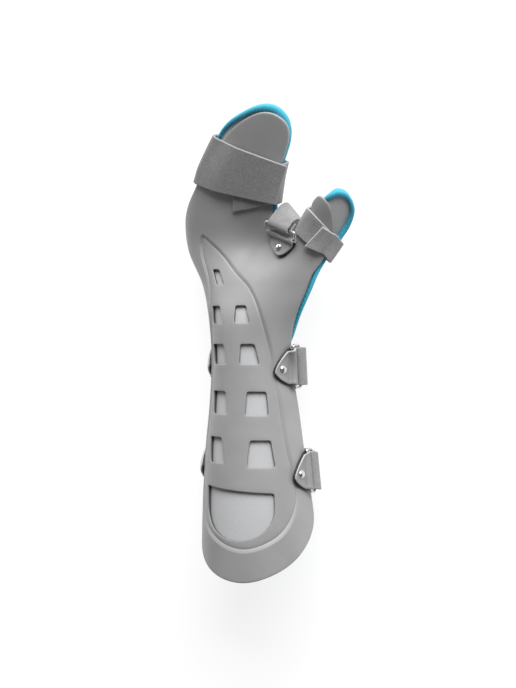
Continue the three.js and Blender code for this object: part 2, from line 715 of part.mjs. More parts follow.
// Return layer outside a run, closing from the turn's width to two walls and a gap
function laidBack(run, turnEnd) {
  const laid = [];
  const returnRows = 4;
  const closed = 2 * STRAP_WALL + GAP;
  const open = turnEnd.distanceTo(run[0]);
  for (let i = 0; i < returnRows; i += 1) {
    const way = run[i + 1].clone().sub(run[Math.max(i - 1, 0)]);
    const outward = new THREE.Vector3(way.z, 0, -way.x).normalize();
    if (outward.dot(turnEnd.clone().sub(run[0])) < 0) outward.negate();
    const width = closed + (Math.max(open, closed) - closed) * (1 - (i + 1) / returnRows) ** 2;
    laid.push(run[i].clone().addScaledVector(outward, width));
  }
  return laid;
}

// Web strap: turned round the palm ring, over the web, flat below the hand and up to its end
function webStrapGeometry(palmTab) {
  const half = WEB_STRAP_WIDTH / 2;
  const frame = strapBar(palmTab, 0);
  const ringAcross = frame.along.clone().negate();
  const turn = strapTurn(frame, INNER_TURN, spread(5));
  const tuck = 6;
  const leaving = new THREE.Vector3(...WEB_ROUTE[0]).sub(turn[turn.length - 1]).normalize();
  const under = turn[0].clone().addScaledVector(leaving, tuck);
  const stops = [under, ...turn].map((point) => ({ point, across: ringAcross }));
  WEB_ROUTE.forEach((row) => {
    const [x, y, z, acrossX, acrossY, acrossZ] = row;
    stops.push({ point: new THREE.Vector3(x, y, z), across: new THREE.Vector3(acrossX, acrossY, acrossZ) });
  });
  const route = new THREE.CatmullRomCurve3(stops.map((stop) => stop.point), false, 'centripetal');
  const sides = [-half, 0, half];
  const rows = [];
  stops.forEach((stop, i) => {
    const next = stops[Math.min(i + 1, stops.length - 1)].across;
    const parts = i < turn.length || i === stops.length - 1 ? [0] : [0, 0.5];
    parts.forEach((part) => {
      const point = onFloor(route.getPoint((i + part) / (stops.length - 1)));
      const across = stop.across.clone().lerp(next, part).normalize();
      rows.push(sides.map((offset) => point.clone().addScaledVector(across, offset)));
    });
  });
  spread(4).forEach((share) => {
    const turned = THREE.MathUtils.degToRad(THREE.MathUtils.lerp(WEB_END.fromDeg, WEB_END.toDeg, share));
    rows.push(sides.map((offset) => flankPoint(turned, WEB_END.y + offset, GAP)));
  });
  return ribbon(rows, STRAP_WALL);
}

// Shell, pad and binding
const shellSpacing = 9;
const padSpacing = 12;
const rimSpacing = 6;
const bindingSpacing = 7.5;
const panelLoop = smoothLoop(PANEL_OUTLINE, rimSpacing);
const shellLoop = smoothLoop(SHELL_OUTLINE, rimSpacing);
const padLoop = smoothLoop(PAD_OUTLINE, bindingSpacing);

function panelLift(point) {
  if (!isInside(point, panelLoop)) return 0;
  return -PANEL_RECESS * THREE.MathUtils.smoothstep(distanceTo(point, panelLoop), 0, PANEL_BEVEL);
}

function bindingLift(point) {
  const clear = isInside(point, shellLoop) ? 0 : distanceTo(point, shellLoop);
  return -SHELL_WALL - PAD_GAP + BINDING_RISE * THREE.MathUtils.smoothstep(clear, 2, 4);
}

const windowLoops = WINDOWS.map((row) => windowLoop(row, rimSpacing));
addPiece('shell', cutSheet({
  outline: shellLoop,
  holes: [...windowLoops, endWindowLoop(rimSpacing)],
  guides: [panelLoop, insetLoop(panelLoop, PANEL_BEVEL)],
  spacing: shellSpacing,
  topLift: panelLift,
  bottomLift: () => -SHELL_WALL,
}), 'shell');

const padTop = -SHELL_WALL - PAD_GAP;
addPiece('pad', cutSheet({
  outline: insetLoop(padLoop, BINDING_WIDTH + BINDING_GAP),
  spacing: padSpacing,
  topLift: () => padTop,
  bottomLift: () => padTop - PAD_WALL,
}), 'pad');

addPiece('pad_binding', cutSheet({
  outline: padLoop,
  holes: [insetLoop(padLoop, BINDING_WIDTH)],
  spacing: padSpacing,
  topLift: bindingLift,
  bottomLift: () => padTop - PAD_WALL - BINDING_SWELL,
}), 'binding');

// Tabs, rings and rivets
TABS.forEach((tab) => {
  addPiece(`${tab.name}_tab`, tabGeometry(tab), 'tab');
  addPiece(`${tab.name}_ring`, ringGeometry(tab), 'metal');
  const lift = 2 * (SEAT_GAP + TAB_WALL) + SEAT_GAP;
  seatRivet(`${tab.name}_rivet`, ...tabPlace(tab, RIVET_SHARE, 0), lift);
});

// Straps
const [palmTab, wristRadial, wristUlnar, forearmRadial, forearmUlnar] = TABS;
addPiece('finger_strap', fingerStrapGeometry(), 'strap');
addPiece('thumb_strap', thumbStrapGeometry(), 'strap');
addPiece('web_strap', webStrapGeometry(palmTab), 'strap');
addPiece('wrist_strap', forearmStrapGeometry(wristRadial, wristUlnar), 'strap');
addPiece('forearm_strap', forearmStrapGeometry(forearmRadial, forearmUlnar), 'strap');
const webRivetTurn = THREE.MathUtils.degToRad(WEB_END.rivetDeg);
seatRivet('web_strap_rivet', webRivetTurn * station(WEB_END.y).ulnarA, WEB_END.y, GAP + STRAP_WALL + GAP);

// The frame's origin is the middle of the whole, on the surface that it rests on
const whole = new THREE.Box3().setFromObject(splint, true);
const middle = whole.getCenter(new THREE.Vector3());
splint.position.set(-middle.x, -middle.y, -whole.min.z);

export default splint;
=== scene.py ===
"""Wrist and hand resting splint, dressed: a moulded grey sheet with windows, a pale liner with a blue
rolled edge, velour straps, wire rings, folded tabs and domed rivets. Shapes are worked out in the
sheet's own millimetres and put into the frame in metres at the end."""
import math

import bpy
import numpy as np
from mathutils import Matrix, Vector
from mathutils.geometry import delaunay_2d_cdt


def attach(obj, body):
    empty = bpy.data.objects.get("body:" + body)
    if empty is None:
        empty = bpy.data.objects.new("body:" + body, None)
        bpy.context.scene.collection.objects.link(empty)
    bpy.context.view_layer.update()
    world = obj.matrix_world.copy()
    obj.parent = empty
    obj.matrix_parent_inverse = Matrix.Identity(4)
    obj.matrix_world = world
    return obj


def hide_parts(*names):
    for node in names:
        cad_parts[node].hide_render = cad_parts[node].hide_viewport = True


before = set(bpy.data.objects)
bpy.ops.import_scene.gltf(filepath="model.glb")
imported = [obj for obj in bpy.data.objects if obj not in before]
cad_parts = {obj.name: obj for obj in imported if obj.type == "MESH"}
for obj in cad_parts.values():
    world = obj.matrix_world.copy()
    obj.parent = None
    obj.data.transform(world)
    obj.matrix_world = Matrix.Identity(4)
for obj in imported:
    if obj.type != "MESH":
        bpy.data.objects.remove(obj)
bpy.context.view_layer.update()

MM = 0.001
# The frame's origin in the sheet's own millimetres
ORIGIN = np.array([10.1142, 0.7883, 0.0])

# Walls, gaps and stock sizes, as in the solids
GAP = 0.35
SEAT_GAP = 0.5
SHELL_WALL = 3.0
PAD_WALL = 5.0
STRAP_WALL = 2.0
TAB_WALL = 1.2
BINDING_WIDTH = 5.0
WIRE_RADIUS = 1.0
RING_OVERHANG = 2.0
RING_CORNER = 2.0
PANEL_RECESS = 1.0
PANEL_BEVEL = 2.6
FINGER_STRAP_WIDTH = 32.0
THUMB_STRAP_WIDTH = 20.0
WEB_STRAP_WIDTH = 21.0
FOREARM_STRAP_WIDTH = 28.5
RIVET_RADIUS = 3.2
RIVET_HEIGHT = 1.6
REST_SQUASH = 2.5
INNER_TURN = WIRE_RADIUS + SEAT_GAP
OUTER_TURN = WIRE_RADIUS + GAP + STRAP_WALL
LOOP_SQUARENESS = 1.9

# Sections of the sheet by their run along it: y, crown x, crown z, then half width and depth to the
# little finger side and to the thumb side
STATIONS = [
    (-180, -180, 4.5, 83, 47, 47, 47, 47),
    (-130, -130, 2.5, 81, 44, 44, 44, 44),
    (-80, -80, -0.5, 76, 39, 39, 39, 39),
    (-45, -45, -1, 72, 35.5, 35.5, 35.5, 35.5),
    (-8, -8, -3, 68.5, 32.5, 32.5, 34, 31),
    (22, 22, -5.5, 64.5, 33.5, 29, 50, 28),
    (45, 45.1, -7.3, 57, 39.5, 27, 76, 24),
    (75, 75.2, -10.3, 50, 52.5, 25, 104, 16),
    (100, 99.1, -7.2, 55, 54.5, 22, 116, 10),
    (130, 128, 0.3, 66, 47, 16, 90, 14),
    (155, 152.4, 14.7, 76, 47, 14, 60, 14),
    (180, 177, 26.2, 86, 47, 14, 60, 14),
]
# Ridge of the ball of the thumb: its axis in plan, then share along it, height and half width
THUMB_BASE = np.array([16.0, 34.0])
THUMB_TIP = np.array([70.0, 112.0])
RIDGE = [
    (-0.7, 0, 20),
    (-0.2, 2.5, 20),
    (0.35, 11, 21),
    (0.8, 17, 21),
    (1.3, 18, 21),
]

# Hollow of the palm: middle in plan, reach across and along, depth
HOLLOW = {"x": 2.0, "y": 76.0, "across": 20.0, "along": 20.0, "depth": 5.0}

# Outlines on the developed sheet: distance round the section from the crown line, then the run along it
SHELL_OUTLINE = [
    # little finger edge
    (-41, 136), (-48.5, 122), (-66, 107), (-82, 90), (-86, 74), (-78, 59), (-64, 38), (-58, 10),
    (-59, -17), (-60.5, -31), (-63, -55), (-69, -85), (-71, -111),
    # elbow end
    (-66, -132), (-50, -153), (-26, -168), (2, -173), (28, -166), (51, -152), (68, -132), (67.5, -112),
    # thumb edge
    (65.5, -97), (60, -72), (50.5, -33), (47, -10), (48, 6), (52.5, 22), (64, 49), (78, 64), (85.5, 78),
    (84.5, 95.5),
    # thumb tip and web
    (79.5, 102.5), (72, 106.8), (66.5, 103), (64, 95.5), (57.5, 88), (53, 80), (46, 80), (36, 86), (28, 92),
    # finger pan
    (26, 103), (30, 128), (26, 155), (15, 165), (0, 169), (-17, 163), (-31, 150),
]
PAD_OUTLINE = [
    # little finger edge
    (-46, 140), (-50, 123), (-64, 107), (-76, 88), (-76, 62), (-60, 38), (-54, 10), (-56, -17),
    (-59, -50), (-65, -85), (-67, -110),
    # elbow end
    (-62, -132), (-46, -149), (-22, -162), (2, -166), (26, -160), (47, -147), (62, -129), (64, -114),
    # thumb edge
    (61, -98), (56, -72), (48, -35), (47, -14), (52, 0), (56.5, 10), (61, 22), (70, 47), (81, 61),
    (95, 74.5),
    # thumb tip and web
    (103.5, 84.5), (107, 96), (101.5, 106.8), (91, 109.3), (81.5, 106.8), (73, 103.5), (67, 96.5),
    (59.5, 86), (53.5, 77.5), (46, 77.5), (37, 83.5), (29.6, 91),
    # finger pan
    (27.2, 103), (29.8, 125), (29, 148), (22, 162), (9, 171.5), (-3, 174), (-17, 171), (-35, 162),
]
PANEL_OUTLINE = [
    (-35, 85), (-38.5, 79), (-38, 68), (-34, 51), (-33, 34), (-36, 0), (-40, -35), (-46, -75),
    (-50, -108), (-41, -130), (-24, -144), (3, -151.5), (29, -143), (42, -131), (49, -117), (50, -104),
    (41, -74), (34, -41), (27, 1), (20, 29), (12, 43), (0, 55), (-12, 69), (-22, 77.5),
]
# Windows: y of the finger end and of the elbow end, then the span at each
WINDOWS = [
    (57, 45, -25.3, -17.9, -21.4, -13),
    (29, 15.5, -27.7, -16.5, -27.7, -13),
    (29, 15.5, -1.3, 8, -2, 11.2),
    (0, -15, -30, -13, -28.5, -10.2),
    (0, -15, 2.5, 13.7, 1, 16.9),
    (-35, -52, -29, -12.1, -28, -9.8),
    (-35, -52.5, 6.5, 21.6, 5, 23.5),
    (-69, -88, -30.4, -14.6, -28.7, -10.9),
    (-70.5, -90, 9.7, 25.9, 7.6, 29.7),
]
WINDOW_CORNER = 2.0
END_WINDOW = {
    "left": -33, "right": 28.2,
    "left_y": -105.3, "right_y": -108.7,
    "spring_y": -120, "rise": 23,
}

# Tabs: place of the ring bar on the sheet, way to the rivet, length and half width, then the ring's lean
# in degrees and its reach, and how far the tab's point sits to one side
TABS = {
    "palm": {
        "u": 40.3, "y": 79, "way": (-0.36, -0.93), "length": 15, "half": 14,
        "lean": 28, "reach": 8, "skew": 2.5,
    },
    "wrist_radial": {
        "u": 43, "y": -17, "way": (-1, 0), "length": 15.5, "half": 14,
        "lean": 7, "reach": 6.6, "skew": 4,
    },
    "wrist_ulnar": {
        "u": -57, "y": -12.5, "way": (1, 0), "length": 16, "half": 14,
        "lean": 0, "reach": 6.6, "skew": -4,
    },
    "forearm_radial": {
        "u": 59, "y": -94.5, "way": (-1, 0), "length": 15, "half": 14,
        "lean": 7, "reach": 6.6, "skew": 4,
    },
    "forearm_ulnar": {
        "u": -67, "y": -90, "way": (1, 0), "length": 16, "half": 14,
        "lean": 0, "reach": 6.6, "skew": -4,
    },
}
RIVET_SHARE = 0.58
TAB_CURVE = 1.3
TAB_FULLNESS = 0.66
# How far the tab's under layer stands out round the upper one
TAB_MARGIN = 0.7

# Strap lines on the sheet, as (u, y) at the elbow end, the middle and the finger end of the strap's
# width: the cut ends, and the edges that the strap turns round
FINGER_LINES = {
    "inner_end": [(-5, 100.7), (-5, 115.2), (-5, 129.7)],
    "first_edge": [(27.6, 104.5), (29.6, 119), (30.2, 133.5)],
    "second_edge": [(-50.4, 125.3), (-46.8, 141.3), (-39.1, 156.8)],
    "outer_end": [(32.3, 104.2), (34.6, 118), (36.6, 131.8)],
}
THUMB_LINES = {
    "inner_end": [(70, 67.5), (76.2, 75), (82.5, 82.5)],
    "first_edge": [(52.8, 81.1), (57.9, 89.6), (64.2, 98.3)],
    "second_edge": [(80.8, 60.2), (88.1, 67.1), (94.6, 73.7)],
    "outer_end": [(60.8, 71.5), (68.6, 79), (76.4, 86.5)],
}
# Section of a turn round an edge: distance out from it, then lift
NEAR_TURN = [(-3, 0.35), (0, 0.25), (1, -1.8), (1.1, -5.5), (0.8, -9), (-1.2, -11), (-4.5, -11.7)]
WIDE_TURN = [
    (-8, 0.5), (-4, 0), (-1, -0.7), (0.8, -2.4), (1.2, -5.5), (0.9, -9), (-1.1, -11), (-4.5, -11.7),
]
FINGER_SAG = np.array([0.0, 4.0, -22.0])
THUMB_SAG = np.array([0.0, 0.0, -18.0])
SAG_POWER = 1.2
# Web strap: x, y, z of its middle, then the way across it
WEB_ROUTE = [
    (33.6, 95.2, 60, -0.68, 0.6, -0.42),
    (34.6, 97, 53, -0.65, 0.68, -0.32),
    (33, 95.6, 40, -0.66, 0.73, -0.15),
    (28.5, 90.5, 22, -0.68, 0.73, 0),
    (20, 82, 7, -0.7, 0.71, 0),
    (11, 73, 2, -0.71, 0.7, 0),
    (-4, 58, 2, -0.71, 0.7, 0),
    (-18, 44, 2, -0.7, 0.71, 0),
    (-29, 31.5, 5, -0.58, 0.81, 0),
    (-36, 21.5, 13, -0.3, 0.95, 0),
]
# Length of the web strap's end behind its ring
WEB_TUCK = 6
WEB_END = {"y": 16, "from_deg": -118, "to_deg": -90, "rivet_deg": -97}


# Numbers

def unit(vector):
    return vector / np.linalg.norm(vector, axis=-1, keepdims=True)


def smoothstep(value, low, high):
    t = np.clip((value - low) / (high - low), 0, 1)
    return t * t * (3 - 2 * t)


def reader(knots, values):
    """A smooth reader of values at rising knots."""
    knots = np.asarray(knots, float)
    values = np.asarray(values, float)
    flat = values.reshape(len(knots), -1)
    spans = np.diff(knots)[:, None]
    chords = np.diff(flat, axis=0) / spans
    inner = (chords[:-1] * spans[1:] + chords[1:] * spans[:-1]) / (spans[:-1] + spans[1:])
    slopes = np.vstack([chords[:1], inner, chords[-1:]])

    def read(where):
        x = np.clip(where, knots[0], knots[-1])
        i = np.clip(np.searchsorted(knots, x) - 1, 0, len(knots) - 2)
        step = (knots[i + 1] - knots[i])[:, None]
        t = (x - knots[i])[:, None] / step
        start = (1 + 2 * t) * (1 - t) ** 2 * flat[i] + t * (1 - t) ** 2 * step * slopes[i]
        end = t * t * (3 - 2 * t) * flat[i + 1] + t * t * (t - 1) * step * slopes[i + 1]
        return (start + end).reshape((len(x),) + values.shape[1:])

    return read


station = reader([row[0] for row in STATIONS], [row[1:] for row in STATIONS])
ridge_size = reader([row[0] for row in RIDGE], [row[1:] for row in RIDGE])


def thumb_ridge(x, y):
    axis = THUMB_TIP - THUMB_BASE
    length = np.linalg.norm(axis)
    axis = axis / length
    off = np.column_stack((x, y)) - THUMB_BASE
    height, half_width = ridge_size(off @ axis / length).T
    across = off[:, 0] * axis[1] - off[:, 1] * axis[0]
    return height * np.exp(-((across / half_width) ** 2))


def palm_hollow(x, y):
    across = (x - HOLLOW["x"]) / HOLLOW["across"]
    along = (y - HOLLOW["y"]) / HOLLOW["along"]
    return HOLLOW["depth"] * np.exp(-(across ** 2) - along ** 2)


def sheet_points(u, y):
    """Outer face of the sheet at developed distances u across and y along it."""
    plan_y, crown_x, crown_z, ulnar_a, ulnar_b, radial_a, radial_b = station(y).T
    a = np.where(u < 0, ulnar_a, radial_a)
    b = np.where(u < 0, ulnar_b, radial_b)
    x = crown_x + a * np.sin(u / a)
    z = crown_z - b * (1 - np.cos(u / a)) + thumb_ridge(x, y) - palm_hollow(x, y)
    return np.column_stack((x, plan_y, z))


def sheet_normals(u, y):
    step = 0.2
    around = sheet_points(u + step, y) - sheet_points(u - step, y)
    along = sheet_points(u, y + step) - sheet_points(u, y - step)
    return unit(np.cross(around, along))


def lifted(flat, lift):
    """Points off the sheet along its outward normal; flat is rows of (u, y)."""
    u, y = np.asarray(flat, float).T
    lift = np.broadcast_to(np.asarray(lift, float), u.shape)
    return sheet_points(u, y) + sheet_normals(u, y) * lift[:, None]


# Flat loops on the developed sheet

def curve_points(points, closed, steps):
    """Points of a centripetal curve through points, steps to each span."""
    points = np.asarray(points, float)
    if closed:
        padded = np.vstack([points[-1:], points, points[:2]])
    else:
        padded = np.vstack([2 * points[0] - points[1], points, 2 * points[-1] - points[-2]])
    share = np.arange(steps)[:, None] / steps
    result = []
    for p0, p1, p2, p3 in zip(padded, padded[1:], padded[2:], padded[3:]):
        d0, d1, d2 = (max(np.linalg.norm(b - a) ** 0.5, 1e-4) for a, b in ((p0, p1), (p1, p2), (p2, p3)))
        start = ((p1 - p0) / d0 - (p2 - p0) / (d0 + d1) + (p2 - p1) / d1) * d1
        end = ((p2 - p1) / d1 - (p3 - p1) / (d1 + d2) + (p3 - p2) / d2) * d1
        cubic = 2 * (p1 - p2) + start + end
        square = 3 * (p2 - p1) - 2 * start - end
        result.append(p1 + share * start + share ** 2 * square + share ** 3 * cubic)
    if not closed:
        result.append(points[-1:])
    return np.vstack(result)


def even_loop(points, spacing):
    """A closed polyline resampled at even steps."""
    ring = np.vstack([points, points[:1]])
    run = np.concatenate([[0], np.cumsum(np.linalg.norm(np.diff(ring, axis=0), axis=1))])
    count = int(round(run[-1] / spacing))
    at = np.arange(count) * run[-1] / count
    return np.column_stack([np.interp(at, run, ring[:, k]) for k in range(ring.shape[1])])


def smooth_loop(points, spacing):
    return even_loop(curve_points(points, True, 24), spacing)


def loop_ways(loop):
    return unit(np.roll(loop, -1, axis=0) - np.roll(loop, 1, axis=0))


def inset(loop, distance):
    way = loop_ways(loop)
    distance = np.broadcast_to(np.asarray(distance, float), len(loop))
    return loop + np.column_stack((-way[:, 1], way[:, 0])) * distance[:, None]


def rounded_corners(corners, radius, spacing):
    corners = np.asarray(corners, float)
    t = np.linspace(0, 1, 9)[:, None]
    loop = []
    for before, corner, after in zip(np.roll(corners, 1, axis=0), corners, np.roll(corners, -1, axis=0)):
        start = corner + unit(before - corner) * radius
        end = corner + unit(after - corner) * radius
        loop.append((1 - t) ** 2 * start + 2 * t * (1 - t) * corner + t ** 2 * end)
    return even_loop(np.vstack(loop), spacing)


def window_loop(row, spacing):
    upper_y, lower_y, upper_from, upper_to, lower_from, lower_to = row
    corners = [(upper_from, upper_y), (lower_from, lower_y), (lower_to, lower_y), (upper_to, upper_y)]
    return rounded_corners(corners, WINDOW_CORNER, spacing)


def end_window_loop(spacing):
    w = END_WINDOW
    turn = np.pi * (1 + np.linspace(0, 1, 15))
    middle = (w["left"] + w["right"]) / 2
    half = (w["right"] - w["left"]) / 2
    arc = np.column_stack((middle + np.cos(turn) * half, w["spring_y"] + np.sin(turn) * w["rise"]))
    corners = np.vstack([[(w["right"], w["right_y"]), (w["left"], w["left_y"])], arc])
    return rounded_corners(corners, WINDOW_CORNER, spacing)


def is_inside(points, loop):
    result = np.zeros(len(points), bool)
    for a, b in zip(loop, np.roll(loop, -1, axis=0)):
        if a[1] == b[1]:
            continue
        crosses = (a[1] > points[:, 1]) != (b[1] > points[:, 1])
        result ^= crosses & (points[:, 0] < (b[0] - a[0]) * (points[:, 1] - a[1]) / (b[1] - a[1]) + a[0])
    return result


def distance_to(points, loop):
    best = np.full(len(points), np.inf)
    for a, b in zip(loop, np.roll(loop, -1, axis=0)):
        edge = b - a
        share = np.clip((points - a) @ edge / (edge @ edge), 0, 1)
        best = np.minimum(best, np.linalg.norm(points - a - share[:, None] * edge, axis=1))
    return best


# Meshes

def add_mesh(name, points, faces, material, node=None, marks=None):
    """A smooth mesh from points in the sheet's millimetres, riding on the part."""
    mesh = bpy.data.meshes.new(name)
    mesh.from_pydata(((np.asarray(points) - ORIGIN) * MM).tolist(), [], [list(map(int, f)) for f in faces])
    mesh.validate()
    for key, values in (marks or {}).items():
        layer = mesh.attributes.new(key, "FLOAT", "POINT")
        layer.data.foreach_set("value", np.asarray(values, np.float32))
    mesh.shade_smooth()
    mesh.materials.append(material)
    piece = bpy.data.objects.new(name, mesh)
    bpy.context.scene.collection.objects.link(piece)
    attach(piece, "root")
    if node:
        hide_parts(node)
    return piece


# Rows of an even grid of triangles, and its way from a rim, as shares of its spacing
GRID_ROW = 0.866
GRID_CLEAR = 0.6


def flat_mesh(rims, guides, spacing):
    """Points and triangles inside the first rim and outside the others. The rims' points come first."""
    outline, holes = rims[0], rims[1:]
    low, high = outline.min(axis=0), outline.max(axis=0)
    rows = np.arange(low[1], high[1], spacing * GRID_ROW)
    columns = np.arange(low[0], high[0], spacing)
    grid = np.vstack([
        np.column_stack((columns + (k % 2) * spacing / 2, np.full(len(columns), y)))
        for k, y in enumerate(rows)
    ])
    keep = is_inside(grid, outline)
    for hole in holes:
        keep &= ~is_inside(grid, hole)
    grid = grid[keep]
    for line in (*rims, *guides):
        grid = grid[distance_to(grid, line) > GRID_CLEAR * spacing]
    points = np.vstack([*rims, *guides, grid])
    edges = []
    start = 0
    for rim in rims:
        edges += [(start + i, start + (i + 1) % len(rim)) for i in range(len(rim))]
        start += len(rim)
    _, _, faces, origins, _, _ = delaunay_2d_cdt([Vector(p) for p in points], edges, [], 0, 1e-5)
    old = np.array([origin[0] for origin in origins])
    triangles = old[np.array([list(face) for face in faces])]
    middles = points[triangles].mean(axis=1)
    keep = is_inside(middles, outline)
    for hole in holes:
        keep &= ~is_inside(middles, hole)
    return points, triangles[keep]


RIM_STEPS = 4


def rim_profile(radius, steps):
    """Steps over a rounded edge: inward share of the radius, then drop from the top or rise from below."""
    turn = np.linspace(0, np.pi / 2, steps + 1)[1:]
    return np.column_stack((1 - np.sin(turn), radius * (1 - np.cos(turn))))


def cut_sheet(rims, guides, spacing, top_lift, bottom_lift, radii):
    """Closed wall cut from the sheet, with a rounded edge round the outline and each hole."""
    signs = [1] + [-1] * (len(rims) - 1)
    faces_rims = [inset(rim, sign * radius) for rim, sign, radius in zip(rims, signs, radii)]
    flat, triangles = flat_mesh(faces_rims, guides, spacing)
    top = top_lift(flat)
    bottom = bottom_lift(flat)
    count = len(flat)
    points = [lifted(flat, top), lifted(flat, bottom)]
    wall_shade = [np.zeros(2 * count)]
    faces = [tuple(t) for t in triangles] + [(a + count, c + count, b + count) for a, b, c in triangles]
    total = 2 * count
    start = 0
    for rim, sign, radius in zip(rims, signs, radii):
        n = len(rim)
        own = np.arange(start, start + n)
        rings = [own]
        profile = rim_profile(radius, RIM_STEPS)
        levels = [(share, top[own] - drop) for share, drop in profile]
        levels += [(share, bottom[own] + drop) for share, drop in profile[::-1]]
        for share, lift in levels:
            points.append(lifted(inset(rim, sign * radius * share), lift))
            # Painted shade: the walls of the holes, below their rounded edge, are marked to be painted
            # nearly black, standing in for the shadow inside the windows.
            deep = smoothstep(top[own] - lift, 0.7 * radius, 1.3 * radius)
            wall_shade.append(deep if sign < 0 else np.zeros(n))
            rings.append(np.arange(total, total + n))
            total += n
        rings.append(own + count)
        for upper, lower in zip(rings, rings[1:]):
            quads = np.column_stack((lower, np.roll(lower, -1), np.roll(upper, -1), upper))
            faces += [tuple(q) if sign > 0 else tuple(q[::-1]) for q in quads]
        start += n
    return np.vstack(points), faces, np.concatenate(wall_shade)


def tube_faces(turns, count):
    """Faces of a closed tube: turns rows of count points, each row going once round its path."""
    faces = []
    for k in range(turns):
        here = k * count + np.arange(count)
        there = ((k + 1) % turns) * count + np.arange(count)
        faces += [tuple(q) for q in np.column_stack((here, np.roll(here, -1), np.roll(there, -1), there))]
    return faces


def band_faces(levels, sides):
    """Faces between round levels of points, one above the other."""
    faces = []
    for k in range(levels - 1):
        for i in range(sides):
            j = (i + 1) % sides
            faces.append((k * sides + i, k * sides + j, (k + 1) * sides + j, (k + 1) * sides + i))
    return faces


def spread(count):
    return np.linspace(0, 1, count + 1)


# Ways in from the edge of a strip at which its rounding is drawn
EDGE_STEPS = np.array([0, 0.06, 0.2, 0.42, 0.75, 1.2])
STRAP_STEP = 1.7
ACROSS_STEP = 1.8


def fine_sides(half, step):
    """Places across a strip from one edge to the other, close together at the edges."""
    last = EDGE_STEPS[-1]
    middle = np.linspace(last, 2 * half - last, max(3, int((2 * half) / step)))[1:-1]
    places = np.concatenate([EDGE_STEPS, middle, 2 * half - EDGE_STEPS[::-1]])
    return places / half - 1


def refine(rows, sides, half, step):
    """A coarse grid of strip points read smoothly: close steps along it and fine sides across it."""
    rows = np.asarray(rows, float)
    across = np.stack([reader(sides, row)(fine_sides(half, ACROSS_STEP)) for row in rows])
    middle = across[:, across.shape[1] // 2]
    gaps = np.linalg.norm(np.diff(middle, axis=0), axis=1)
    run = np.concatenate([[0], np.cumsum(gaps)])
    last = EDGE_STEPS[-1]
    inner = np.linspace(last, run[-1] - last, int(run[-1] / step))[1:-1]
    return reader(run, across)(np.concatenate([EDGE_STEPS, inner, run[-1] - EDGE_STEPS[::-1]]))


def strip_faces(rows, wall, clear, radius, bead=0.0):
    """Closed strip with a rounded edge: rows are its inner face, clear each point's way to the edge."""
    n, m = rows.shape[:2]
    along = np.gradient(rows, axis=0)
    across = np.gradient(rows, axis=1)
    normal = unit(np.cross(along, across))
    middle = rows + normal * wall / 2
    inside = np.clip(clear / radius, 0, 1)
    half = wall / 2 * np.sqrt(1 - (1 - inside) ** 2)
    half = half + bead * np.exp(-(((clear - 1.0) / 0.5) ** 2)) * (clear > 0)
    border = np.zeros((n, m), bool)
    border[[0, -1]] = True
    border[:, [0, -1]] = True
    upper = np.arange(n * m).reshape(n, m)
    lower = upper.copy()
    lower[~border] = n * m + np.arange((~border).sum())
    half[border] = 0
    top = middle + normal * half[..., None]
    below = (middle - normal * half[..., None])[~border]
    points = np.vstack([top.reshape(-1, 3), below])
    faces = []
    for grid, turn in ((upper, 1), (lower, -1)):
        corners = (grid[:-1, :-1], grid[1:, :-1], grid[1:, 1:], grid[:-1, 1:])
        quads = np.stack(corners, axis=-1).reshape(-1, 4)
        faces += [tuple(q[::turn]) for q in quads]
    # Mark of the rounded rim: on the velour straps it gives their paler sealed edge, on the tabs a painted
    # highlight.
    edge = 1 - smoothstep(clear, 0.25, 0.9)
    marks = np.concatenate([edge.reshape(-1), edge[~border]])
    return points, faces, marks, ~border


def strip_clear(rows):
    """Distance of each point of a rectangular strip from its nearest edge."""
    along = np.linalg.norm(np.diff(rows, axis=0), axis=2).mean(axis=1)
    across = np.linalg.norm(np.diff(rows, axis=1), axis=2).mean(axis=0)
    run = np.concatenate([[0], np.cumsum(along)])
    width = np.concatenate([[0], np.cumsum(across)])
    ends = np.minimum(run, run[-1] - run)
    sides = np.minimum(width, width[-1] - width)
    return np.minimum(ends[:, None], sides[None, :])


# Materials

def node_material(name):
    material = bpy.data.materials.new(name)
    material.use_nodes = True
    tree = material.node_tree
    return material, tree, tree.nodes["Principled BSDF"]


def add_node(tree, kind, **values):
    """A node with its properties and, by name, its input values set."""
    node = tree.nodes.new(kind)
    for key, value in values.items():
        if key in node.inputs:
            node.inputs[key].default_value = value
        else:
            setattr(node, key, value)
    return node


def noise_field(tree, scale, detail=3.0, roughness=0.55):
    place = add_node(tree, "ShaderNodeTexCoord")
    field = add_node(tree, "ShaderNodeTexNoise", Scale=scale, Detail=detail, Roughness=roughness)
    tree.links.new(place.outputs["Object"], field.inputs["Vector"])
    return field.outputs["Fac"]


def wave_field(tree, scale, direction, distortion=0.0):
    place = add_node(tree, "ShaderNodeTexCoord")
    field = add_node(
        tree, "ShaderNodeTexWave", bands_direction=direction, Scale=scale, Distortion=distortion
    )
    tree.links.new(place.outputs["Object"], field.inputs["Vector"])
    return field.outputs["Fac"]


def ramp(tree, source, stops):
    """Colours by a field: stops are (place, colour)."""
    node = add_node(tree, "ShaderNodeValToRGB")
    while len(node.color_ramp.elements) < len(stops):
        node.color_ramp.elements.new(1.0)
    for element, (place, colour) in zip(node.color_ramp.elements, stops):
        element.position = place
        element.color = (*colour, 1)
    tree.links.new(source, node.inputs["Fac"])
    return node.outputs["Color"]


def rescale(tree, source, low, high):
    node = add_node(tree, "ShaderNodeMapRange")
    node.inputs["From Min"].default_value = 0.3
    node.inputs["From Max"].default_value = 0.7
    node.inputs["To Min"].default_value = low
    node.inputs["To Max"].default_value = high
    tree.links.new(source, node.inputs["Value"])
    return node.outputs["Result"]


def bumps(tree, surface, layers):
    """Bump nodes in a row: layers are (field, strength, distance in mm)."""
    normal = None
    for field, strength, distance in layers:
        bump = add_node(tree, "ShaderNodeBump", Strength=strength, Distance=distance * MM)
        tree.links.new(field, bump.inputs["Height"])
        if normal:
            tree.links.new(normal, bump.inputs["Normal"])
        normal = bump.outputs["Normal"]
    tree.links.new(normal, surface.inputs["Normal"])


def grey(value):
    return (value, value, value * 1.005)


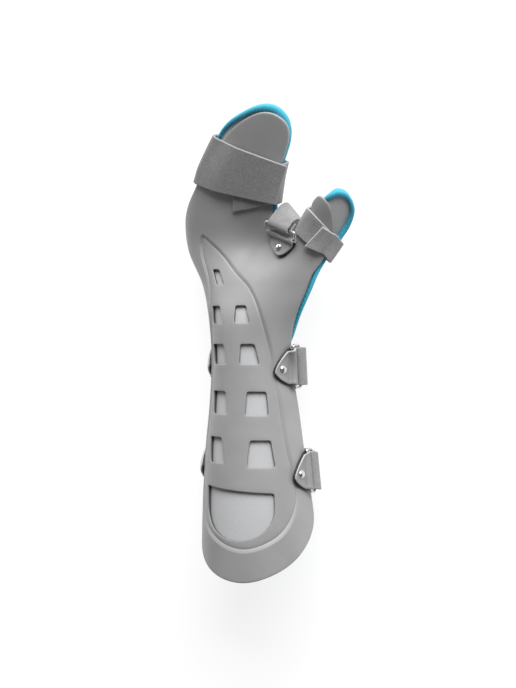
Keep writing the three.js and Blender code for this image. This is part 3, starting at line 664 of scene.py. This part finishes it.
def blended(tree, source, mark, colour):
    """A colour field that gives way to one colour where a mark on the mesh is high."""
    attribute = add_node(tree, "ShaderNodeAttribute", attribute_name=mark)
    mix = add_node(tree, "ShaderNodeMix", data_type="RGBA")
    mix.inputs[7].default_value = (*colour, 1)
    tree.links.new(attribute.outputs["Fac"], mix.inputs[0])
    tree.links.new(source, mix.inputs[6])
    return mix.outputs[2]


def plastic_material(name, shade, rough, marks):
    """Satin moulded plastic: faint flow marks, fine spark texture and uneven gloss."""
    material, tree, surface = node_material(name)
    flow = noise_field(tree, 38, 2)
    grain = noise_field(tree, 5200, 2)
    tint = ramp(tree, flow, [(0.3, grey(shade * 0.95)), (0.7, grey(shade * 1.05))])
    # Marked places take a flat colour: on the shell, painted shade on the window walls; on the tabs, a
    # painted highlight on the rim and painted shadow under it.
    for mark, marked_shade in marks:
        tint = blended(tree, tint, mark, grey(marked_shade))
    tree.links.new(tint, surface.inputs["Base Color"])
    gloss = noise_field(tree, 260, 4)
    tree.links.new(rescale(tree, gloss, rough - 0.05, rough + 0.06), surface.inputs["Roughness"])
    surface.inputs["Specular IOR Level"].default_value = 0.5
    bumps(tree, surface, [(grain, 0.12, 0.04), (flow, 0.05, 0.5)])
    return material


def velour_material(name, shade, edge_shade):
    """Loop velour: mottled short pile, with a paler sealed edge."""
    material, tree, surface = node_material(name)
    pile = noise_field(tree, 1500, 5, 0.7)
    patch = noise_field(tree, 240, 3)
    cloth = ramp(tree, pile, [(0.3, grey(shade * 0.6)), (0.5, grey(shade)), (0.7, grey(shade * 1.45))])
    worn = ramp(tree, patch, [(0.3, grey(0.9)), (0.7, grey(1.0))])
    shaded = add_node(tree, "ShaderNodeMix", data_type="RGBA", blend_type="MULTIPLY")
    shaded.inputs[0].default_value = 1.0
    tree.links.new(cloth, shaded.inputs[6])
    tree.links.new(worn, shaded.inputs[7])
    tree.links.new(blended(tree, shaded.outputs[2], "edge", grey(edge_shade)), surface.inputs["Base Color"])
    surface.inputs["Roughness"].default_value = 0.95
    surface.inputs["Specular IOR Level"].default_value = 0.2
    surface.inputs["Sheen Weight"].default_value = 0.25
    surface.inputs["Sheen Roughness"].default_value = 0.5
    bumps(tree, surface, [(pile, 0.55, 0.35), (patch, 0.2, 0.4)])
    return material


def liner_material():
    """Pale brushed knit: fine ribs both ways under a soft nap."""
    material, tree, surface = node_material("liner_cloth")
    nap = noise_field(tree, 900, 4, 0.65)
    ribs = wave_field(tree, 420, "X", 1.5)
    courses = wave_field(tree, 420, "Y", 1.5)
    tint = ramp(tree, nap, [(0.3, (0.49, 0.495, 0.505)), (0.7, (0.54, 0.545, 0.55))])
    tree.links.new(tint, surface.inputs["Base Color"])
    surface.inputs["Roughness"].default_value = 0.95
    surface.inputs["Specular IOR Level"].default_value = 0.2
    surface.inputs["Sheen Weight"].default_value = 0.2
    bumps(tree, surface, [(ribs, 0.2, 0.08), (courses, 0.2, 0.08), (nap, 0.15, 0.1)])
    return material


def binding_material():
    """Blue stretch cloth, finely ribbed, with a soft sheen."""
    material, tree, surface = node_material("binding_cloth")
    ribs = wave_field(tree, 520, "DIAGONAL", 2.0)
    nap = noise_field(tree, 1300, 4, 0.6)
    tint = ramp(tree, nap, [(0.3, (0.04, 0.38, 0.54)), (0.7, (0.065, 0.48, 0.66))])
    tree.links.new(tint, surface.inputs["Base Color"])
    surface.inputs["Roughness"].default_value = 0.72
    surface.inputs["Specular IOR Level"].default_value = 0.3
    surface.inputs["Sheen Weight"].default_value = 0.3
    bumps(tree, surface, [(ribs, 0.25, 0.12), (nap, 0.25, 0.12)])
    return material


def thread_material():
    material, tree, surface = node_material("binding_thread")
    twist = wave_field(tree, 900, "DIAGONAL", 1.0)
    tint = ramp(tree, twist, [(0.2, (0.018, 0.17, 0.27)), (0.8, (0.03, 0.27, 0.41))])
    tree.links.new(tint, surface.inputs["Base Color"])
    surface.inputs["Roughness"].default_value = 0.6
    bumps(tree, surface, [(twist, 0.4, 0.08)])
    return material


def metal_material():
    """Polished nickel plate with faint wear."""
    material, tree, surface = node_material("nickel_plate")
    wear = noise_field(tree, 700, 4, 0.6)
    tint = ramp(tree, wear, [(0.3, (0.62, 0.62, 0.63)), (0.7, (0.76, 0.76, 0.77))])
    tree.links.new(tint, surface.inputs["Base Color"])
    tree.links.new(rescale(tree, wear, 0.2, 0.32), surface.inputs["Roughness"])
    surface.inputs["Metallic"].default_value = 1.0
    bumps(tree, surface, [(wear, 0.05, 0.05)])
    return material


# The shell's plastic paints the marked window walls nearly black, as painted shade.
SHELL_PLASTIC = plastic_material("shell_plastic", 0.33, 0.4, [("wall_shade", 0.03)])
# Tab vinyl with painted light: the rim is painted lighter as a painted highlight, and the under layer
# nearly black as painted shadow round the tab.
TAB_VINYL = plastic_material("tab_vinyl", 0.26, 0.45, [("edge", 0.5), ("under_shade", 0.012)])
# One velour in three shades: the finger strap's copy is a little darker as painted shade, the thumb strap's
# copy lighter as painted light.
SHADED_FINGER_VELOUR = velour_material("shaded_finger_velour", 0.27, 0.33)
PALE_VELOUR = velour_material("strap_velour", 0.285, 0.37)
LIT_THUMB_VELOUR = velour_material("lit_thumb_velour", 0.38, 0.45)
LINER = liner_material()
BINDING = binding_material()
THREAD = thread_material()
METAL = metal_material()


# Shell, liner and rolled edge

FINE_RIM = 1.4
ROLL_STEP = 0.9
shell_loop = smooth_loop(SHELL_OUTLINE, FINE_RIM)
panel_loop = smooth_loop(PANEL_OUTLINE, FINE_RIM)
pad_loop = smooth_loop(PAD_OUTLINE, ROLL_STEP)
# Groove at the foot of the panel's bevel: its way in from there, half width and depth
GROOVE_IN = 0.2
GROOVE_HALF = 0.4
GROOVE_DEPTH = 0.28
SHELL_ROUND = 0.9
WINDOW_ROUND = 0.45
SHELL_SPACING = 1.7


def panel_lift(flat):
    """Recess of the panel: a plain bevel that ends in a fine groove."""
    inward = distance_to(flat, panel_loop)
    groove = GROOVE_DEPTH * np.exp(-(((inward - PANEL_BEVEL - GROOVE_IN) / GROOVE_HALF) ** 2))
    depth = PANEL_RECESS * np.clip(inward / PANEL_BEVEL, 0, 1) + groove
    return np.where(is_inside(flat, panel_loop), -depth, 0)


def shell_inside(flat):
    return np.full(len(flat), -SHELL_WALL)


def build_shell():
    windows = [window_loop(row, 0.8) for row in WINDOWS]
    rims = [shell_loop, *windows, end_window_loop(1.0)]
    offsets = (-0.35, 0, 0.3, 1.3, 2.3, 2.6, 2.8, 3.1, 3.5)
    guides = [inset(panel_loop, offset) for offset in offsets]
    radii = [SHELL_ROUND] + [WINDOW_ROUND] * (len(rims) - 1)
    points, faces, wall_shade = cut_sheet(rims, guides, SHELL_SPACING, panel_lift, shell_inside, radii)
    add_mesh("shell_moulding", points, faces, SHELL_PLASTIC, "shell", {"wall_shade": wall_shade})


LINER_TOP = -SHELL_WALL - 0.7
LINER_BOTTOM = -SHELL_WALL - 1.1 - PAD_WALL
LINER_SPACING = 2.2
LINER_ROUND = 1.4
# How far the cloth is drawn in at the roll, and over what way
DRAWN_DEPTH = 1.3
DRAWN_WAY = 3.0
ROLL_BOTTOM = LINER_BOTTOM - 0.6
ROLL_SQUARENESS = 0.8
# Puckers of the roll: share of its height, and the way from one to the next
PUCKER = 0.09
PUCKER_STEP = 3.4


def build_liner():
    """Foam pad under cloth, drawn in a little along the rolled edge."""
    rim = inset(even_loop(pad_loop, 1.6), BINDING_WIDTH - 0.6)

    def drawn(flat):
        return DRAWN_DEPTH * np.exp(-distance_to(flat, rim) / DRAWN_WAY)

    def top(flat):
        return LINER_TOP - 0.5 * drawn(flat)

    def bottom(flat):
        return LINER_BOTTOM + drawn(flat)

    points, faces, _ = cut_sheet([rim], [], LINER_SPACING, top, bottom, [LINER_ROUND])
    liner = add_mesh("liner_pad", points, faces, LINER, "pad")


def binding_top():
    """Lift of the roll's top along it: low under the shell, higher where it stands clear."""
    middle = inset(pad_loop, BINDING_WIDTH / 2)
    clear = np.where(is_inside(middle, shell_loop), 0, distance_to(middle, shell_loop))
    top = LINER_TOP - 0.1 + 2.3 * smoothstep(clear, 0.6, 4.2)
    kernel = np.hanning(15)
    return np.convolve(np.concatenate([top[-7:], top, top[:7]]), kernel / kernel.sum(), "valid")


def build_binding():
    """Rolled edge: an oval section swept round the pad, puckered at its seam."""
    top = binding_top()
    turns = np.linspace(0, 2 * np.pi, 28, endpoint=False)
    count = len(pad_loop)
    run = np.arange(count) * ROLL_STEP
    rings = []
    for turn in turns:
        across = np.sign(np.cos(turn)) * abs(np.cos(turn)) ** ROLL_SQUARENESS
        height = np.sign(np.sin(turn)) * abs(np.sin(turn)) ** ROLL_SQUARENESS
        seam = smoothstep(-across, -0.2, 0.9)
        pucker = PUCKER * np.sin(run * 2 * np.pi / PUCKER_STEP) * seam
        lift = (top + ROLL_BOTTOM) / 2 + height * (top - ROLL_BOTTOM) / 2 * (1 + pucker)
        rings.append(lifted(inset(pad_loop, BINDING_WIDTH / 2 - across * BINDING_WIDTH / 2), lift))
    faces = tube_faces(len(turns), count)
    binding = add_mesh("rolled_edge", np.vstack(rings), faces, BINDING, "pad_binding")


def capsule(start, end, radius, sides=6):
    """Points and faces of a short round stitch between two points."""
    axis = unit(end - start)
    side = unit(np.cross(axis, [0.3, 0.5, 0.81]))
    other = np.cross(axis, side)
    levels = ((0, 0.3), (0.12, 0.85), (0.5, 1), (0.88, 0.85), (1, 0.3))
    points = []
    for share, width in levels:
        for turn in np.linspace(0, 2 * np.pi, sides, endpoint=False):
            off = (side * np.cos(turn) + other * np.sin(turn)) * radius * width
            points.append(start + (end - start) * share + off)
    last = (len(levels) - 1) * sides
    faces = [tuple(range(sides))[::-1], tuple(range(last, last + sides))]
    return points, faces + band_faces(len(levels), sides)


# Seam of the roll: its way in and its height, as shares of the roll, then the stitches along it
SEAM_IN = 0.86
SEAM_HEIGHT = 0.72
STITCH_RADIUS = 0.3
STITCH_STEPS = 2
STITCH_PITCH = 4


def build_stitches():
    """Stitches along the seam of the roll, on both faces."""
    top = binding_top()
    seam = inset(pad_loop, BINDING_WIDTH * SEAM_IN)
    upper = lifted(seam, (top + ROLL_BOTTOM) / 2 + SEAM_HEIGHT * (top - ROLL_BOTTOM) / 2)
    lower = lifted(seam, (top + ROLL_BOTTOM) / 2 - SEAM_HEIGHT * (top - ROLL_BOTTOM) / 2)
    points, faces = [], []
    for line in (upper, lower):
        for i in range(0, len(line) - STITCH_PITCH + 1, STITCH_PITCH):
            stitch_points, stitch_faces = capsule(line[i], line[i + STITCH_STEPS], STITCH_RADIUS)
            faces += [tuple(len(points) + v for v in face) for face in stitch_faces]
            points += stitch_points
    add_mesh("edge_stitches", points, faces, THREAD)


# Tabs, rings and rivets

def tab_places(tab, away, off):
    """Places on the sheet at a distance from the ring bar and some ways off to the side."""
    way_u, way_y = tab["way"]
    return np.column_stack((tab["u"] + way_u * away - way_y * off, tab["y"] + way_y * away + way_u * off))


def tab_frame(tab):
    """Ring bar's middle, the ways along it and to the rivet, the normal, and the ring's reach and rise."""
    off = np.array([-1, -0.5, 0, 0.5, 1]) * tab["half"]
    line = lifted(tab_places(tab, 0, off), 0)
    seat = line[2]
    along = unit(line[-1] - line[0])
    toward = lifted(tab_places(tab, 1, np.zeros(1)), 0)[0] - seat
    toward = unit(toward - along * (toward @ along))
    normal = np.cross(toward, along)
    hollow = max((line - seat) @ normal)
    bar_lift = SEAT_GAP + TAB_WALL + GAP + WIRE_RADIUS + hollow
    lean = math.radians(tab["lean"])
    reach = -toward * math.cos(lean) + normal * math.sin(lean)
    return {
        "bar": seat + normal * bar_lift, "along": along, "toward": toward, "normal": normal,
        "lift": bar_lift, "reach": reach, "rise": np.cross(along, reach),
    }


def tab_half(share):
    """Half width of the pick shape from the bar to the point."""
    return (1 - np.clip(share, 0, 1) ** TAB_CURVE) ** TAB_FULLNESS


def build_tab(name, tab):
    """A strip folded round the ring bar, both layers lying on the sheet and coming to a round point."""
    place = tab_frame(tab)
    turn_radius = WIRE_RADIUS + GAP + TAB_WALL
    sides = fine_sides(tab["half"], 1.3)[::-1]
    near_point = 1 - np.array([0, 0.002, 0.008, 0.018, 0.035, 0.06, 0.1])
    shares = np.concatenate([near_point, np.linspace(0.86, 0.01, 26)])
    flat_lift = SEAT_GAP + 2 * TAB_WALL + 0.15
    peak = place["lift"] + turn_radius
    rows, clear = [], []

    def layer(share, lift, wider):
        half = tab["half"] * tab_half(share) + wider
        off = sides * half + tab["skew"] * share ** TAB_CURVE
        away = share * (tab["length"] + wider)
        rows.append(lifted(tab_places(tab, away, off), lift))
        clear.append(np.minimum((1 - np.abs(sides)) * half, (1 - share) * tab["length"]))

    for share in shares:
        layer(share, SEAT_GAP, TAB_MARGIN)
    for turn in np.linspace(0, np.pi, 18):
        off = -np.cos(turn) * place["normal"] - np.sin(turn) * place["toward"]
        rows.append(place["bar"] + off * turn_radius + sides[:, None] * tab["half"] * place["along"])
        clear.append((1 - np.abs(sides)) * tab["half"])
    for share in shares[::-1]:
        off = share * tab["length"] / (1.15 * turn_radius)
        fall = max(0, 1 - off ** 2) ** 0.5
        layer(share, flat_lift + (peak - flat_lift) * fall, 0)
    rows = np.stack(rows)
    # The edge mark paints the tab's rounded rim lighter, as a painted highlight.
    points, faces, edge, keep = strip_faces(rows, TAB_WALL, np.stack(clear), 0.55, 0.3)
    # Painted shadow: the under layer, standing out round the upper one, is marked to be painted nearly
    # black as the dark outline of shade round the tab.
    under_shade = np.zeros(rows.shape[:2])
    under_shade[:len(shares)] = 1
    marks = {"edge": edge, "under_shade": np.concatenate([under_shade.reshape(-1), under_shade[keep]])}
    add_mesh(f"{name}_tab_strip", points, faces, TAB_VINYL, f"{name}_tab", marks)


def build_ring(name, tab):
    """Closed rounded rectangle of wire."""
    place = tab_frame(tab)
    half = tab["half"] + RING_OVERHANG
    deep = tab["reach"] / 2
    corners = [(half, -deep), (half, deep), (-half, deep), (-half, -deep)]
    path = rounded_corners(corners, RING_CORNER, 0.7)
    ways = loop_ways(path)
    outward = np.column_stack((ways[:, 1], -ways[:, 0]))
    centre = place["bar"] + place["reach"] * deep
    sides = 14
    points = []
    for turn in np.linspace(0, 2 * np.pi, sides, endpoint=False):
        flat = path + outward * WIRE_RADIUS * math.cos(turn)
        points.append(centre + flat[:, :1] * place["along"] + flat[:, 1:] * place["reach"]
                      + place["rise"] * WIRE_RADIUS * math.sin(turn))
    faces = tube_faces(sides, len(path))
    add_mesh(f"{name}_wire_ring", np.vstack(points), faces, METAL, f"{name}_ring")


def build_rivet(name, flat, lift, node):
    """Domed head with a thin lip, seated along the sheet's normal."""
    seat = lifted([flat], lift)[0]
    normal = sheet_normals(*np.array([flat], float).T)[0]
    side = unit(np.cross(normal, [0.2, 1, 0.1]))
    other = np.cross(normal, side)
    dome = np.linspace(0, np.pi / 2, 9)[:-1]
    profile = [(0.9, 0), (1, 0.12), (1, 0.22), (0.93, 0.3)]
    profile += [(0.86 * math.cos(a), 0.3 + 0.7 * math.sin(a)) for a in dome]
    sides = 32
    points = []
    for width, height in profile:
        for turn in np.linspace(0, 2 * np.pi, sides, endpoint=False):
            off = (side * math.cos(turn) + other * math.sin(turn)) * width * RIVET_RADIUS
            points.append(seat + off + normal * height * RIVET_HEIGHT)
    faces = [tuple(range(sides))[::-1], *band_faces(len(profile), sides)]
    last = (len(profile) - 1) * sides
    points.append(seat + normal * RIVET_HEIGHT)
    faces += [(last + i, last + (i + 1) % sides, len(points) - 1) for i in range(sides)]
    add_mesh(f"{name}_rivet_head", points, faces, METAL, node)


def build_tab_rivet(name, tab):
    off = np.array([tab["skew"] * RIVET_SHARE ** TAB_CURVE])
    place = tab_places(tab, tab["length"] * RIVET_SHARE, off)[0]
    build_rivet(name, place, SEAT_GAP + 2 * TAB_WALL + 0.2, f"{name}_rivet")


def build_web_rivet():
    y = WEB_END["y"]
    half_width = station(np.array([y], float))[0, 3]
    place = (math.radians(WEB_END["rivet_deg"]) * half_width, y)
    build_rivet("web_strap", place, GAP + STRAP_WALL + 0.1, "web_strap_rivet")


# Straps

STRAP_ROUND = 0.6


def add_strap(name, rows, sides, width, material, node):
    rows = refine(rows, sides, width / 2, STRAP_STEP)
    points, faces, marks, _ = strip_faces(rows, STRAP_WALL, strip_clear(rows), STRAP_ROUND)
    strap = add_mesh(name, points, faces, material, node, {"edge": marks})


def hanging_loop(start, end, drop, share):
    """Point of a half loop that hangs below two points, squarer than an ellipse."""
    turn = np.pi * share
    power = 2 / LOOP_SQUARENESS
    sideways = np.sign(np.cos(turn)) * abs(np.cos(turn)) ** power
    return (start + end) / 2 + (start - end) * sideways / 2 + drop * np.sin(turn) ** power


def mixed(start, end, share):
    return np.asarray(start, float) * (1 - share) + np.asarray(end, float) * share


def line_points(line, sides):
    """Places along a line through three points, at sides from -1 to 1."""
    low, middle, high = np.asarray(line, float)
    side = np.asarray(sides, float)[:, None]
    return low * side * (side - 1) / 2 + middle * (1 - side ** 2) + high * side * (side + 1) / 2


def turn_line(line, sides, outward):
    """Places along an edge line and the way out from it: outward is +1 to the right of the line's way."""
    low, _, high = np.asarray(line, float)
    way = unit(high - low)
    return line_points(line, sides), np.array([way[1], -way[0]]) * outward


def turn_rows(line, sides, outward, section):
    """Rows of a strap turning under an edge line."""
    places, out = turn_line(line, sides, outward)
    return [lifted(places + out * distance, lift) for distance, lift in section]


def turn_seat(line, sides, outward, section):
    """Where the turn leaves the sheet, in (u, y)."""
    places, out = turn_line(line, sides, outward)
    return places + out * section[0][0]


# Outer layer of a wrapped strap: shares of its run over which it climbs onto the inner layer
CLIMB_FROM = 0.08
CLIMB_TO = 0.42


def wrapped_rows(lines, sides, first_out, turns, sag):
    """An inner layer, a turn under one edge, a hanging run, a turn over the other and an outer layer."""
    first_turn = turn_rows(lines["first_edge"], sides, first_out, turns[0])
    second_turn = turn_rows(lines["second_edge"], sides, -first_out, turns[1])[::-1]
    first_seat = turn_seat(lines["first_edge"], sides, first_out, turns[0])
    second_seat = turn_seat(lines["second_edge"], sides, -first_out, turns[1])
    inner_end = line_points(lines["inner_end"], sides)
    outer_end = line_points(lines["outer_end"], sides)
    inner = [lifted(mixed(inner_end, first_seat, share), GAP) for share in spread(7)[:-1]]
    outer = []
    for share in spread(14)[1:]:
        seat_lift = mixed(turns[1][0][1], GAP, min(1, 4 * share))
        over_inner = (STRAP_WALL + GAP) * smoothstep(share, CLIMB_FROM, CLIMB_TO)
        outer.append(lifted(mixed(second_seat, outer_end, share), seat_lift + over_inner))
    hanging = [
        mixed(first_turn[-1], second_turn[0], share) + sag * math.sin(math.pi * share) ** SAG_POWER
        for share in spread(12)[1:-1]
    ]
    return np.stack([*inner, *first_turn, *hanging, *second_turn, *outer])


STRAP_SIDES = np.array([-1, -0.33, 0.33, 1])


def build_finger_strap():
    rows = wrapped_rows(FINGER_LINES, STRAP_SIDES, 1, (NEAR_TURN, NEAR_TURN), FINGER_SAG)
    add_strap("finger_band", rows, STRAP_SIDES, FINGER_STRAP_WIDTH, SHADED_FINGER_VELOUR, "finger_strap")


def build_thumb_strap():
    rows = wrapped_rows(THUMB_LINES, STRAP_SIDES, -1, (NEAR_TURN, WIDE_TURN), THUMB_SAG)[:, ::-1]
    add_strap("thumb_band", rows, STRAP_SIDES, THUMB_STRAP_WIDTH, LIT_THUMB_VELOUR, "thumb_strap")


def strap_turn(bar, place, radius, shares):
    turn = np.pi * shares[:, None]
    return bar - place["rise"] * radius * np.cos(turn) - place["reach"] * radius * np.sin(turn)


# Way of the straps' soles over the floor
FLOOR_GAP = 0.25


def on_floor(points):
    points = np.array(points)
    points[..., 2] = np.maximum(points[..., 2], STRAP_WALL + FLOOR_GAP)
    return points


def laid_back(run, turn_end):
    """Return layer outside a run, closing from the turn's width to two walls and a gap."""
    rows = 4
    closed = 2 * STRAP_WALL + GAP
    wide = max(np.linalg.norm(turn_end - run[0]), closed)
    laid = []
    for i in range(rows):
        way = run[i + 1] - run[max(i - 1, 0)]
        outward = unit(np.array([way[2], 0, -way[0]]))
        if outward @ (turn_end - run[0]) < 0:
            outward = -outward
        laid.append(run[i] + outward * (closed + (wide - closed) * (1 - (i + 1) / rows) ** 2))
    return laid


def build_forearm_strap(name, radial_tab, ulnar_tab, node):
    """A loop hung between two rings, each end turned round its bar and laid back."""
    radial, ulnar = tab_frame(radial_tab), tab_frame(ulnar_tab)
    half = FOREARM_STRAP_WIDTH / 2
    columns = []
    for offset in (-half, 0, half):
        radial_bar = radial["bar"] + radial["reach"] * radial_tab["reach"] + radial["along"] * offset
        ulnar_bar = ulnar["bar"] + ulnar["reach"] * ulnar_tab["reach"] - ulnar["along"] * offset
        radial_turn = strap_turn(radial_bar, radial, OUTER_TURN, spread(8))
        ulnar_turn = strap_turn(ulnar_bar, ulnar, OUTER_TURN, spread(8))
        start, end = ulnar_turn[0], radial_turn[0]
        drop = np.array([0, 0, STRAP_WALL - REST_SQUASH - (start[2] + end[2]) / 2])
        run = on_floor([hanging_loop(start, end, drop, share) for share in spread(26)[1:-1]])
        back = laid_back(run, ulnar_turn[-1])[::-1]
        front = laid_back(run[::-1], radial_turn[-1])
        columns.append(np.vstack([back, ulnar_turn[::-1], run, radial_turn, front]))
    rows = np.stack(columns, axis=1)
    sides = np.array([-1, 0, 1])
    add_strap(name, rows, sides, FOREARM_STRAP_WIDTH, PALE_VELOUR, node)


def build_web_strap():
    """Turned round the palm ring, over the web, flat below the hand and up to its end on the flank."""
    place = tab_frame(TABS["palm"])
    bar = place["bar"] + place["reach"] * TABS["palm"]["reach"]
    turn = strap_turn(bar, place, INNER_TURN, spread(8))
    leaving = unit(np.array(WEB_ROUTE[0][:3]) - turn[-1])
    stops = np.vstack([turn[:1] + leaving * WEB_TUCK, turn, [row[:3] for row in WEB_ROUTE]])
    across = np.vstack([np.tile(-place["along"], (len(turn) + 1, 1)), [row[3:] for row in WEB_ROUTE]])
    steps = 2
    route = on_floor(curve_points(stops, False, steps))
    ways = unit(np.stack([np.interp(np.arange(len(route)) / steps, np.arange(len(across)), column)
                          for column in across.T], axis=1))
    sides = np.array([-1, 0, 1])
    half = WEB_STRAP_WIDTH / 2
    rows = [point + sides[:, None] * half * way for point, way in zip(route, ways)]
    for share in spread(4):
        turned = math.radians(mixed(WEB_END["from_deg"], WEB_END["to_deg"], share))
        y = WEB_END["y"] + sides * half
        rows.append(lifted(np.column_stack((turned * station(y)[:, 3], y)), GAP))
    add_strap("web_band", rows, sides, WEB_STRAP_WIDTH, PALE_VELOUR, "web_strap")


# Stage

def add_floor():
    mesh = bpy.data.meshes.new("floor")
    size = 3.0
    corners = [(-size, -size, 0), (size, -size, 0), (size, size, 0), (-size, size, 0)]
    mesh.from_pydata(corners, [], [(0, 1, 2, 3)])
    material, tree, surface = node_material("floor_white")
    tint = ramp(tree, noise_field(tree, 2, 2), [(0.3, grey(0.29)), (0.7, grey(0.31))])
    tree.links.new(tint, surface.inputs["Base Color"])
    surface.inputs["Roughness"].default_value = 1.0
    surface.inputs["Specular IOR Level"].default_value = 0.0
    surface.inputs["Emission Color"].default_value = (1, 1, 1, 1)
    surface.inputs["Emission Strength"].default_value = 0.8
    mesh.materials.append(material)
    floor = bpy.data.objects.new("floor", mesh)
    bpy.context.scene.collection.objects.link(floor)


def aim(obj, place, target):
    obj.location = place
    obj.rotation_euler = (Vector(target) - Vector(place)).to_track_quat("-Z", "Y").to_euler()


def add_light(name, place, target, size, power):
    light = bpy.data.lights.new(name, "AREA")
    light.shape = "RECTANGLE"
    light.size, light.size_y = size
    light.energy = power
    lamp = bpy.data.objects.new(name, light)
    bpy.context.scene.collection.objects.link(lamp)
    aim(lamp, place, target)


# View: turn to the thumb side in degrees, metres to the target, its height, and the focal length and the
# picture's width in pixels
VIEW_TURN = 22
VIEW_DISTANCE = 0.8
VIEW_HEIGHT = 35.0
FOCAL_PIXELS = 1043
PICTURE_WIDTH = 516
SENSOR_WIDTH = 36


def add_camera():
    turn = math.radians(VIEW_TURN)
    target = (np.array([0, 0, VIEW_HEIGHT]) - ORIGIN) * MM
    back = np.array([math.sin(turn), 0, math.cos(turn)])
    right = np.array([math.cos(turn), 0, -math.sin(turn)])
    camera = bpy.data.cameras.new("camera")
    camera.sensor_fit = "HORIZONTAL"
    camera.sensor_width = SENSOR_WIDTH
    camera.lens = SENSOR_WIDTH * FOCAL_PIXELS / PICTURE_WIDTH
    camera.clip_start = 0.01
    viewer = bpy.data.objects.new("camera", camera)
    bpy.context.scene.collection.objects.link(viewer)
    place = target + back * VIEW_DISTANCE
    columns = zip(right, (0, 1, 0), back, place)
    viewer.matrix_world = Matrix([list(row) for row in columns] + [[0, 0, 0, 1]])
    bpy.context.scene.camera = viewer


def add_world():
    world = bpy.data.worlds.new("studio")
    world.use_nodes = True
    background = world.node_tree.nodes["Background"]
    background.inputs["Color"].default_value = (1, 1, 1, 1)
    background.inputs["Strength"].default_value = 0.15
    bpy.context.scene.world = world
    bpy.context.scene.view_settings.view_transform = "Standard"


build_shell()
build_liner()
build_binding()
build_stitches()
for tab_name, tab_sizes in TABS.items():
    build_tab(tab_name, tab_sizes)
    build_ring(tab_name, tab_sizes)
    build_tab_rivet(tab_name, tab_sizes)
build_finger_strap()
build_thumb_strap()
build_web_strap()
build_forearm_strap("wrist_band", TABS["wrist_radial"], TABS["wrist_ulnar"], "wrist_strap")
build_forearm_strap("forearm_band", TABS["forearm_radial"], TABS["forearm_ulnar"], "forearm_strap")
build_web_rivet()

add_floor()
add_world()
LIT_POINT = (0, 0, 0.05)
add_light("key", place=(0.55, 1.45, 1.1), target=LIT_POINT, size=(1.9, 1.3), power=60)
add_light("side", place=(-1.2, 1.0, 0.45), target=LIT_POINT, size=(1.2, 0.6), power=6)
add_camera()
